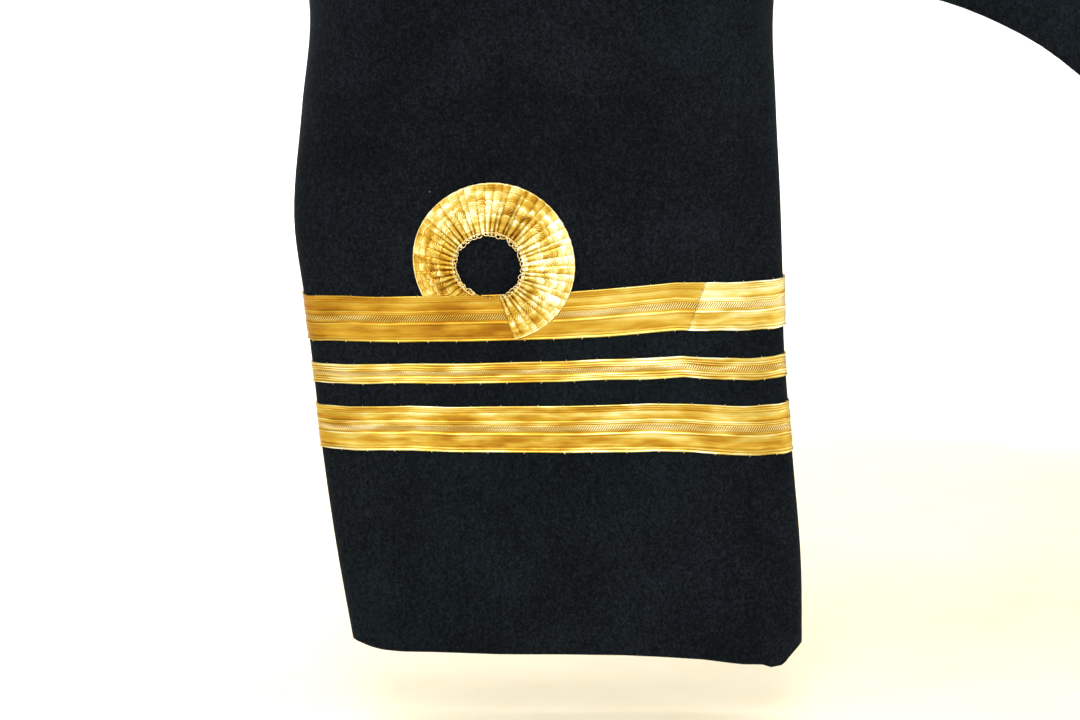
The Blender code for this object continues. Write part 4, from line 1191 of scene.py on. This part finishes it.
def make_body(side):
    front = finer(front_grid(), BODY_SPACING, BODY_SPACING)
    body_cloth("front", side, front, FRONT_CREASES[side], (20, 20, (0.3, -1, 0)))
    back = finer(back_grid(), BODY_SPACING, BODY_SPACING)
    body_cloth("back", side, back, BACK_CREASES[side], (20, 20, (0.3, 1, 0)))
    lapel = finer(lapel_grid(), *FOLDED_SPACING)
    cloth_piece("lapel", side, lapel, grid_normals(lapel, (20, -8, (0.2, -1, 0))))


def make_collar():
    grid = finer(collar_grid(), *FOLDED_SPACING)
    normals = grid_normals(grid, (grid.shape[0] // 2, -8, (0, 1, 0)))
    dress(cloth_wall("cloth_collar", "left", grid, normals), "collar")


def armhole_edge_point(angle):
    return armhole_point((1 + math.sin(angle)) / 2, math.cos(angle) > 0)


def armhole_ring(angles, place):
    """A ring along the armhole's edge, moved into the hole and off the body, and its normals."""
    ring, normals = [], []
    for angle in angles:
        point = armhole_edge_point(angle)
        front = math.cos(angle) > 0
        half_arch = math.asin(min((1 + math.sin(angle)) / 2, 1.0)) * 2 / math.pi
        normal = arch_normal(point.x, half_arch if front else 2 - half_arch)
        along = armhole_edge_point(angle + ARMHOLE_STEP) - armhole_edge_point(angle - ARMHOLE_STEP)
        off_tip = abs(angle - math.pi / 2)
        fade = float(smooth_step((off_tip - TIP_REACH) / TIP_FADE))
        inward = along.cross(normal).normalized() * fade + TIP_INWARD * (1 - fade)
        normal = (normal * fade + TIP_NORMAL * (1 - fade)).normalized()
        ring.append(tuple(point + inward * place.inset + normal * place.lift))
        normals.append(tuple(normal))
    return np.array(ring), np.array(normals)


def head_ring(ring, angles):
    inner = np.array((ring.inner_x, 0, ring.inner_z))
    outer = np.array((ring.outer_x, 0, ring.outer_z))
    wide = np.array((0, -ring.half_depth, 0))
    return oval((inner + outer) / 2, wide, (outer - inner) / 2, angles, HEAD_ROUNDNESS)


def sleeve_panel(side, first, last):
    """One panel of a sleeve, from the cuff to the armhole, between two angles."""
    count = int(SLEEVE_COLUMNS * (last - first) / (2 * math.pi))
    inset = CLOSED_SEAM / 2 / SLEEVE_GIRTH_RADIUS
    angles = np.linspace(first + inset, last - inset, count)
    plain_ups = np.linspace(0, HIGHEST_SLEEVE_ROW, SLEEVE_ROWS)
    edge = cuff_edge(angles)
    rows = []
    for up in plain_ups:
        ups = up + edge * max(1 - up / CORNER_HEIGHT, 0.0) ** 1.5
        rows.append(dressed_sleeve(side, angles, ups)[0])
    rows += [head_ring(ring, angles) for ring in reversed(SLEEVE_HEAD)]
    rings, ring_normals = zip(*(armhole_ring(angles, place) for place in ARMHOLE_RINGS))
    hanging = through_rows(np.array(rows + [rings[0]]), SLEEVE_SPACING)
    return np.concatenate((hanging, rings[1:])), np.array(ring_normals)


def make_sleeve(side):
    spans = {"top_sleeve": (FRONT_SEAM, BACK_SEAM), "under_sleeve": (BACK_SEAM, 2 * math.pi + FRONT_SEAM)}
    for node, (first, last) in spans.items():
        grid, ring_normals = sleeve_panel(side, first, last)
        middle = grid.shape[1] // 2
        outward = grid[20, middle] - grid[20, 0] / 2 - grid[20, -1] / 2
        normals = grid_normals(grid, (20, middle, outward))
        normals[-len(ring_normals) :] = ring_normals
        cloth_piece(node, side, grid, normals)


# Lace

# Raised wires across the lace: share of the way across, height and half width in metres
WIDE_WIRES = table(
    "share height half_width",
    (0.024, 0.00028, 0.00030), (0.085, 0.00014, 0.00022), (0.395, 0.00026, 0.00030),
    (0.478, 0.00008, 0.00045), (0.560, 0.00008, 0.00045), (0.622, 0.00020, 0.00018),
    (0.660, 0.00022, 0.00022), (0.888, 0.00014, 0.00022), (0.936, 0.00014, 0.00020),
    (0.982, 0.00026, 0.00026),
)
NARROW_WIRES = table(
    "share height half_width",
    (0.055, 0.00024, 0.00028), (0.20, 0.00020, 0.00018), (0.30, 0.00022, 0.00018),
    (0.51, 0.00012, 0.00050), (0.69, 0.00020, 0.00018), (0.79, 0.00020, 0.00018),
    (0.95, 0.00026, 0.00030),
)
# Flat bands that swell a little between the wires: their shares of the way across and their swell
WIDE_SWELLS = [(0.125, 0.365, 0.00017), (0.690, 0.862, 0.00016)]
LACE_ROWS = {WIDE_LACE: 66, NARROW_LACE: 34}
LACE_STEP = 0.00085
LACE_SEAM_GAP = 0.0004
LACE_RADIUS = SLEEVE_GIRTH_RADIUS * 1.02
GIRTH_STEPS = 2400
OVERLAP_FROM_ACROSS = 0.0450
OVERLAP_SLANT = 0.0063
OVERLAP_LIFT = 0.00040
OVERLAP_LIFT_AT_END = 0.15
OVERLAP_EASE = 0.0018
LACE_ROUND_WIDTH, LACE_ROUND_DEPTH, LACE_THINNEST = 0.0004, 0.00014, 0.00008


def wire_relief(width, share):
    """Height of the lace's wires and flat bands over its ground."""
    height = np.zeros_like(share)
    is_wide = width == WIDE_LACE
    for wire in WIDE_WIRES if is_wide else NARROW_WIRES:
        height = height + wire.height * np.exp(-(((share - wire.share) * width / wire.half_width) ** 2))
    for low, high, swell in WIDE_SWELLS if is_wide else ():
        place = np.clip((share - low) / (high - low), 0, 1)
        height = height + swell * np.sin(place * math.pi) ** 0.7
    return height


def slow_wave(values, lengths, seed, size):
    """A smooth wave made of a few sines, the same for the same seed."""
    rng = random.Random(seed)
    total = np.zeros_like(values)
    for length in lengths:
        total = total + np.sin(values / length * 2 * math.pi + rng.uniform(0, 6.28)) * rng.uniform(0.6, 1.0)
    return total * size / len(lengths)


def girth_table(up):
    """Angles round the sleeve at a height, and the way round to each from the middle of the outer face."""
    angles = np.linspace(FRONT_SEAM, FRONT_SEAM + 2 * math.pi, GIRTH_STEPS)
    points = plain_sleeve(angles, np.full_like(angles, up))
    ways = np.concatenate(([0.0], np.cumsum(np.linalg.norm(np.diff(points, axis=0), axis=-1))))
    return angles, ways - np.interp(math.pi / 2, angles, ways)


def stripe_up(side, number, angles, shares):
    """Height above the cuff of a place on a stripe, by its angle and its share of the way up the stripe."""
    stripe = STRIPES[number]
    across = share_across(angles)
    rises = np.array(STRIPE_RISES[side][number]) / 1000
    inner = blend(rises[0], rises[-1], (across + 1) / 2)
    rise = np.where(np.sin(angles) > 0, np.interp(across, RISE_SHARES, rises), inner)
    along = angles * LACE_RADIUS
    seed = 10 * number + (5 if side == "left" else 0)
    rise = rise + slow_wave(along, (0.085, 0.047, 0.031), seed, 0.00028)
    rise = rise + slow_wave(along + shares * 0.03, (0.026, 0.017), seed + 1, 0.00010)
    return stripe.low + stripe.width * shares - stripe.sag * np.sin(angles) ** 2 + rise


def lace_on_sleeve(name, side, number, material, lift=0.0, slant_start=None):
    """Lace laid round the sleeve, or from a slanted end on the outer face to the front seam."""
    stripe = STRIPES[number]
    middle = stripe.low + stripe.width / 2
    rows = LACE_ROWS[stripe.width]
    girth_angles, ways = girth_table(middle)
    shares = np.linspace(0, 1, rows)[:, None]
    start = np.full(rows, ways[-1] - LACE_SEAM_GAP)
    if slant_start is not None:
        spots = slant_start + OVERLAP_SLANT * (shares[:, 0] - 0.5)
        start = np.interp(angle_across(spots, np.full(rows, middle)), girth_angles, ways)
    last = ways[0] + LACE_SEAM_GAP
    t = np.linspace(0, 1, int((start[0] - last) / LACE_STEP) + 2)[None, :]
    along = start[:, None] + (last - start[:, None]) * t
    angles = np.interp(along, ways, girth_angles)
    points, normals = dressed_sleeve(side, angles, stripe_up(side, number, angles, shares))
    seed = 10 * number + (57 if side == "left" else 52)
    buckle = slow_wave(along + shares * 0.004, (0.036, 0.023, 0.014, 0.009), seed, 0.00014)
    edge = np.minimum(shares, 1 - shares) * stripe.width
    rounding = LACE_ROUND_DEPTH * np.clip(1 - edge / LACE_ROUND_WIDTH, 0, 1) ** 2
    height = np.maximum(LACE_WALL + wire_relief(stripe.width, shares) + buckle - rounding, LACE_THINNEST)
    risen = smooth_step((start[:, None] - along) / OVERLAP_EASE)
    eased = lift * blend(OVERLAP_LIFT_AT_END, 1.0, risen)
    grid = points + normals * (LACE_GAP + eased + height)[..., None]
    uvs = np.stack((along, np.broadcast_to(shares, along.shape)), axis=-1)
    return lace_strip(name, side, grid, normals, height, uvs, material)


def make_stripes(side):
    for number, (stripe, material) in enumerate(zip(STRIPES, (WIDE_GOLD, NARROW_GOLD, UPPER_GOLD))):
        node = f"{stripe.name}_{side}"
        dress(lace_on_sleeve("gold_" + node, side, number, material), node)
    name = "gold_lace_overlap_" + side
    top = lace_on_sleeve(name, side, 2, LIT_GOLD, OVERLAP_LIFT, OVERLAP_FROM_ACROSS)


PLEAT_STEPS = 10
CURL_RINGS = 48
PLEAT_HEIGHT = 0.00105
CURL_WALL = 0.00035
SCALLOP = 0.00026
HOLE_STRETCH = 0.10
CURL_UNDER_STRIPE = 0.0001


def curl_lift(angle):
    """Height of the curl's underside off the cloth: over the stripe at its start, then on the cloth."""
    share = (angle - CURL_OVER_LACE_UNTIL) / (CURL_ON_CLOTH_FROM - CURL_OVER_LACE_UNTIL)
    return blend(LACE_TOP, CURL_GAP, smooth_step(share))


def curl_spot(angle, share):
    """Across and up of a point between the hole and the outer edge."""
    cosine, sine = np.cos(angle), np.sin(angle)
    hole_width = HOLE_RADIUS * (1 + HOLE_STRETCH * (1 - cosine) / 2)
    across = blend(HOLE_ACROSS + hole_width * cosine, CURL_ACROSS + CURL_RADIUS * cosine, share)
    up = blend(HOLE_UP + HOLE_RADIUS * sine, CURL_UP + CURL_RADIUS * sine, share)
    return across, up


def stripe_top_at(side, across):
    """Height of the upper stripe's top edge at a distance across from the sleeve's middle."""
    middle = np.full_like(across, STRIPES[-1].low + STRIPES[-1].width)
    return stripe_up(side, len(STRIPES) - 1, angle_across(across, middle), 1.0)


def curl_reach(side, angle):
    """Share of the curl's width that shows above the stripe that covers its end."""
    _, inner_up = curl_spot(angle, 0.0)
    across, outer_up = curl_spot(angle, 1.0)
    stripe_top = stripe_top_at(side, across) - CURL_UNDER_STRIPE
    reach = (inner_up - stripe_top) / np.maximum(inner_up - outer_up, 1e-6)
    return np.where(angle < math.pi, 1.0, np.clip(reach, 0.02, 1.0))


def pleat_edges(side):
    """Angles between the pleats, unevenly spaced."""
    rng = random.Random(7 if side == "right" else 17)
    even = np.linspace(CURL_START, CURL_END, CURL_PLEATS + 1)
    step = even[1] - even[0]
    jitter = np.array([rng.uniform(-0.22, 0.22) for _ in even])
    jitter[0] = jitter[-1] = 0
    return even + jitter * step


def per_pleat(rng, low, high, pleat):
    """A random value for every pleat, at each step round the curl."""
    return np.array([rng.uniform(low, high) for _ in range(CURL_PLEATS + 1)])[pleat][None, :]


def make_curl(side):
    """A round of lace, gathered into pleats at its inner edge."""
    edges = pleat_edges(side)
    rng = random.Random(5 if side == "right" else 15)
    phases = np.arange(CURL_PLEATS * PLEAT_STEPS + 1) / PLEAT_STEPS
    angles = np.interp(phases, np.arange(len(edges)), edges)[None, :]
    shares = np.linspace(0, 1, CURL_RINGS)[:, None]
    pleat = np.minimum(phases.astype(int), CURL_PLEATS - 1)
    heights = per_pleat(rng, 0.55, 1.0, pleat)
    reaches = per_pleat(rng, 0.45, 1.1, pleat)
    drift = per_pleat(rng, -0.03, 0.03, pleat)
    bulge = np.abs(np.sin(phases % 1 * math.pi))[None, :] ** 0.6
    strength = np.clip(1 - shares / reaches, 0, 1) ** 0.8 * 0.80 + 0.20
    shown = shares * curl_reach(side, angles)
    across, up = curl_spot(angles, shown)
    woven = shown + (drift - 0.045 * (bulge - 0.6)) * np.sin(shares * math.pi)
    scallop = SCALLOP * (bulge - 0.5) * shares**6
    across = across + scallop * np.cos(angles)
    up = up + scallop * np.sin(angles)
    points, normals = dressed_sleeve(side, angle_across(across, up), up)
    thickness = CURL_WALL + PLEAT_HEIGHT * heights * bulge * strength + wire_relief(WIDE_LACE, woven) * 0.6
    grid = points + normals * (curl_lift(angles) + thickness)[..., None]
    uvs = np.stack(np.broadcast_arrays(phases[None, :] * PLEAT_PITCH, woven), axis=-1)
    piece = lace_strip("gold_lace_curl_" + side, side, grid, normals, thickness, uvs, CURL_GOLD)
    dress(piece, "lace_curl_" + side)


TUBE_SIDES = 6


def tube(path, radius):
    """Points and faces of a round tube with closed ends along a path."""
    path = np.asarray(path)
    tangents = unit(np.gradient(path, axis=0))
    helper = np.where(np.abs(tangents[:, 2:3]) > 0.9, [[1.0, 0, 0]], [[0, 0, 1.0]])
    first = unit(np.cross(tangents, helper))
    second = np.cross(tangents, first)
    turns = np.linspace(0, 2 * math.pi, TUBE_SIDES, endpoint=False)[:, None]
    ring = np.cos(turns) * first[:, None] + np.sin(turns) * second[:, None]
    points = (path[:, None] + ring * radius).reshape(-1, 3)
    faces = [tuple(range(TUBE_SIDES))[::-1]]
    for start in range(0, (len(path) - 1) * TUBE_SIDES, TUBE_SIDES):
        for k in range(TUBE_SIDES):
            m = (k + 1) % TUBE_SIDES
            faces.append(tuple(start + v for v in (k, m, TUBE_SIDES + m, TUBE_SIDES + k)))
    faces.append(tuple(range(len(points) - TUBE_SIDES, len(points))))
    return points, faces


def threads(name, paths, radius):
    """One piece of many short gilt threads."""
    points, faces, first = [], [], 0
    for path in paths:
        new_points, new_faces = tube(path, radius)
        points.append(new_points)
        faces += [tuple(v + first for v in face) for face in new_faces]
        first += len(new_points)
    mesh_object(name, np.concatenate(points), faces, THREAD)


LOOP_RADIUS = 0.00058
LOOPS = 42
LOOP_POINTS = 14
WIRE_RADIUS = 0.00015


def on_face(side, across, up, lift):
    """Points at a height off the outer face, on their side of the jacket."""
    angles = angle_across(np.asarray(across), np.asarray(up))
    points, normals = dressed_sleeve(side, angles, np.asarray(up))
    return on_side(points + normals * np.asarray(lift)[..., None], side)


def above_stripe(side, across, up):
    """Whether places on the outer face lie clear above the upper stripe."""
    return up > stripe_top_at(side, across) + 0.0002


def make_loops(side):
    """Wires on the curl: small loops and a cord at its inner edge, and a cord along its outer edge."""
    t = np.linspace(0, 1, LOOPS * LOOP_POINTS)
    angles = blend(CURL_START, CURL_END, t)
    over = angles < math.pi
    turn = t * LOOPS * 2 * math.pi + 1.6 * np.sin(t * 53.0 + 0.7) + 1.1 * np.sin(t * 119.0)
    lift = curl_lift(angles)
    loop = LOOP_RADIUS * (1.05 + 0.28 * np.sin(t * 71.0 + 2.0) + 0.17 * np.sin(t * 163.0))
    inward = (loop * np.cos(turn) - 0.0001) / (CURL_RADIUS - HOLE_RADIUS)
    around = angles + loop * 0.8 * np.sin(turn) / HOLE_RADIUS
    bumps = 0.004 * np.abs(np.sin(t * CURL_PLEATS * math.pi))
    wires = (
        (around, -inward, lift + 0.0010 + 0.00025 * np.sin(turn + 1.0)),
        (angles, np.full_like(angles, 0.05), lift + 0.0013 + 0.00015 * np.cos(turn * 0.62)),
        (angles, 0.995 + bumps, lift + 0.00050),
    )
    paths = []
    for turned, shares, height in wires:
        across, up = curl_spot(turned, shares)
        shown = over | above_stripe(side, across, up)
        end = len(shown) if shown.all() else int(np.argmin(shown))
        paths.append(on_face(side, across, up, height)[:end])
    threads("gold_curl_wire_" + side, paths, WIRE_RADIUS)


PICOT_SPACING = 0.0094
PICOT_END_GAP = 0.003
PICOT_RADIUS = 0.00012
# Along one stitch: its share sideways, how far it reaches past the lace's edge, and its height
PICOT_SIDEWAYS = np.array([0, 0.3, 0.7, 1.0])
PICOT_BEND = np.array([0.0005, 0.0002, -0.00015, -0.0003])
PICOT_HEIGHTS = np.array([0.00036, 0.00046, 0.00028, 0.0])


def make_picots(side):
    """Small stitches of gilt thread that hold the edges of the lace down."""
    rng = random.Random(21 if side == "right" else 22)
    paths = []
    for number, stripe in enumerate(STRIPES):
        girth_angles, ways = girth_table(stripe.low + stripe.width / 2)
        for share, way in ((0.0, -1), (1.0, 1)):
            along = ways[0] + PICOT_SPACING * rng.uniform(0.4, 1.0)
            while along < ways[-1] - PICOT_END_GAP:
                angle = np.interp(along, ways, girth_angles)
                ups = stripe_up(side, number, angle, share) - PICOT_BEND * way
                angles = angle + PICOT_SIDEWAYS * rng.uniform(-0.004, 0.004)
                points, normals = dressed_sleeve(side, angles, ups)
                paths.append(on_side(points + normals * (LACE_GAP + PICOT_HEIGHTS)[:, None], side))
                along += PICOT_SPACING * rng.uniform(0.8, 1.2)
    threads("gold_picots_" + side, paths, PICOT_RADIUS)


# Buttons

BUTTON_PROFILE = table(
    "radius_share height rope",
    (0.00, 0.0003, 0), (0.20, 0.0003, 0), (0.22, 0.0005, 0), (0.22, 0.0013, 0), (0.60, 0.0012, 0),
    (0.92, 0.0014, 0), (0.985, 0.0018, 0.5), (1.00, 0.0023, 0.8), (0.985, 0.0030, 1),
    (0.940, 0.0034, 1), (0.890, 0.0035, 1), (0.845, 0.0033, 0.8), (0.810, 0.0029, 0),
    (0.780, 0.00295, 0), (0.700, 0.0036, 0), (0.600, 0.0043, 0), (0.480, 0.0049, 0), (0.340, 0.0053, 0),
    (0.180, 0.0056, 0), (0.00, 0.0057, 0),
)
BUTTON_SIDES = 120
ROPE_TURNS = 30
ROPE_DEPTH = 0.00022


def make_button(side, place):
    """A domed button with a roped rim, on a short shank."""
    centre = front_at(place.x, place.height)
    normal = front_normal(place.x, place.height)
    turn = Vector((0, 0, 1)).rotation_difference(normal).to_matrix().to_4x4()
    into_place = np.array(Matrix.Translation(centre) @ turn)
    angles = np.linspace(0, 2 * math.pi, BUTTON_SIDES, endpoint=False)
    points, faces = [], []
    for row in BUTTON_PROFILE:
        twist = np.sin(angles * ROPE_TURNS + row.radius_share * 60)
        radius = BUTTON_RADIUS * row.radius_share - ROPE_DEPTH * row.rope * 0.4 * (1 - twist)
        height = row.height - ROPE_DEPTH * row.rope * (1 - twist) * 0.6
        columns = (radius * np.cos(angles), radius * np.sin(angles), height, np.ones(BUTTON_SIDES))
        ring = np.stack(columns, axis=-1)
        points.append((ring if row.radius_share else ring[:1]) @ into_place.T)
    starts = np.cumsum([0] + [len(ring) for ring in points])
    for k in range(len(points) - 1):
        for j in range(BUTTON_SIDES):
            m = (j + 1) % BUTTON_SIDES
            low, high = starts[k], starts[k + 1]
            lower = (low + j, low + m) if len(points[k]) > 1 else (low,)
            upper = (high + m, high + j) if len(points[k + 1]) > 1 else (high,)
            face = tuple(int(v) for v in lower + upper)
            faces.append(face if SIDES[side] > 0 else face[::-1])
    node = f"button_{place.name}_{side}"
    obj = mesh_object("gilt_" + node, on_side(np.concatenate(points)[:, :3], side), faces, GILT)
    dress(obj, node)


# Stage, camera and lights

LENS = 120
SENSOR = 36
CAMERA_AZIMUTH = math.radians(-45)
CAMERA_ELEVATION = math.radians(9)
CAMERA_DISTANCE = 1.0728
CAMERA_TARGET = Vector((-0.24754643, -0.01859325, -0.57340002))
FLOOR_DROP = 0.022
FLOOR_REACH = 30
CREAM_SHADE_RADIUS = 0.8


def make_stage():
    n = Nodes("pale_floor")
    place = n.add("TexCoord").outputs["Object"]
    grain = n.noise(place, 40, 2)
    # Painted warm shade: the floor is cream near the jacket, which turns its shadows there warm, and white
    # further off
    cream_shade = n.ramp(grain, [(0.3, (0.92, 0.820, 0.59)), (0.7, (0.95, 0.855, 0.63))])
    away = n.add("VectorMath", {"Vector": place}, operation="LENGTH").outputs["Value"]
    white_share = n.range(away, CREAM_SHADE_RADIUS, 2 * CREAM_SHADE_RADIUS)
    white = (0.95, 0.945, 0.93, 1)
    floor_material = n.finish(Base_Color=n.mix(white_share, cream_shade, white), Roughness=0.9)
    level = CUFF_HEIGHT - FLOOR_DROP
    corners = ((-1, -1), (1, -1), (1, 1), (-1, 1))
    points = np.array([(x * FLOOR_REACH, y * FLOOR_REACH, level) for x, y in corners])
    plain_mesh("floor", points, [(0, 1, 2, 3)], floor_material)


def look_along(direction):
    return Vector(direction).to_track_quat("-Z", "Y").to_euler()


def make_camera():
    camera_data = bpy.data.cameras.new("camera")
    camera_data.lens = LENS
    camera_data.sensor_width = SENSOR
    camera_data.clip_start = 0.01
    camera_data.clip_end = 100
    camera = placed("camera", camera_data)
    level = math.cos(CAMERA_ELEVATION)
    across, ahead = -math.sin(CAMERA_AZIMUTH) * level, math.cos(CAMERA_AZIMUTH) * level
    forward = Vector((across, ahead, -math.sin(CAMERA_ELEVATION)))
    camera.location = CAMERA_TARGET - forward * CAMERA_DISTANCE
    camera.rotation_euler = look_along(forward)
    bpy.context.scene.camera = camera


LAMPS = table(
    "name x y z size watts colour",
    ("key", -1.9, -1.5, 0.9, 1.1, 42, (1.0, 0.98, 0.95)),
    ("fill", 0.9, -2.3, 0.6, 1.6, 24, (1.0, 0.98, 0.96)),
    ("top", 0.2, 0.4, 2.2, 2.0, 30, (1.0, 1.0, 1.0)),
    ("back", 1.2, 2.2, 0.8, 1.6, 22, (1.0, 0.99, 0.97)),
)
# The world's brightness by the height of its direction: white at the horizon and overhead, dimmer between
WORLD_TONES = [
    (0.00, (1.35, 1.33, 1.30)),
    (0.22, (1.35, 1.33, 1.30)),
    (0.36, (0.35, 0.35, 0.36)),
    (0.60, (0.35, 0.35, 0.36)),
    (0.80, (2.1, 2.1, 2.1)),
]


def make_lights():
    world = bpy.data.worlds.new("soft_white")
    bpy.context.scene.world = world
    world.use_nodes = True
    tree = world.node_tree
    place = tree.nodes.new("ShaderNodeTexCoord")
    height = tree.nodes.new("ShaderNodeSeparateXYZ")
    ramp = tree.nodes.new("ShaderNodeValToRGB")
    set_stops(ramp, WORLD_TONES)
    tree.links.new(place.outputs["Generated"], height.inputs[0])
    tree.links.new(height.outputs["Z"], ramp.inputs["Fac"])
    tree.links.new(ramp.outputs["Color"], tree.nodes["Background"].inputs["Color"])
    for lamp in LAMPS:
        data = bpy.data.lights.new(lamp.name, "AREA")
        data.size = lamp.size
        data.energy = lamp.watts
        data.color = lamp.colour
        light = placed(lamp.name, data)
        light.location = (lamp.x, lamp.y, lamp.z)
        light.rotation_euler = look_along(Vector((0, 0, -0.4)) - light.location)
    bpy.context.scene.view_settings.view_transform = "Standard"


# The whole jacket

# What each piece of cloth is cut from: its greatest width and length and its area, laid flat
*CUTS, COLLAR_CUT = table(
    "name width length area held",
    ("front", 0.242, 0.620, 0.0860, "hung"),
    ("back", 0.269, 0.530, 0.1096, "hung"),
    ("lapel", 0.107, 0.361, 0.0199, "hung"),
    ("top_sleeve", 0.250, 0.646, 0.1241, "hung"),
    ("under_sleeve", 0.175, 0.536, 0.0747, "hung"),
    ("collar", 0.082, 0.551, 0.0355, "folded"),
)


def main():
    for side in SIDES:
        make_body(side)
        make_sleeve(side)
        make_stripes(side)
        make_curl(side)
        make_loops(side)
        make_picots(side)
        for place in BUTTONS:
            make_button(side, place)
    make_collar()
    make_stage()
    make_camera()
    make_lights()


main()
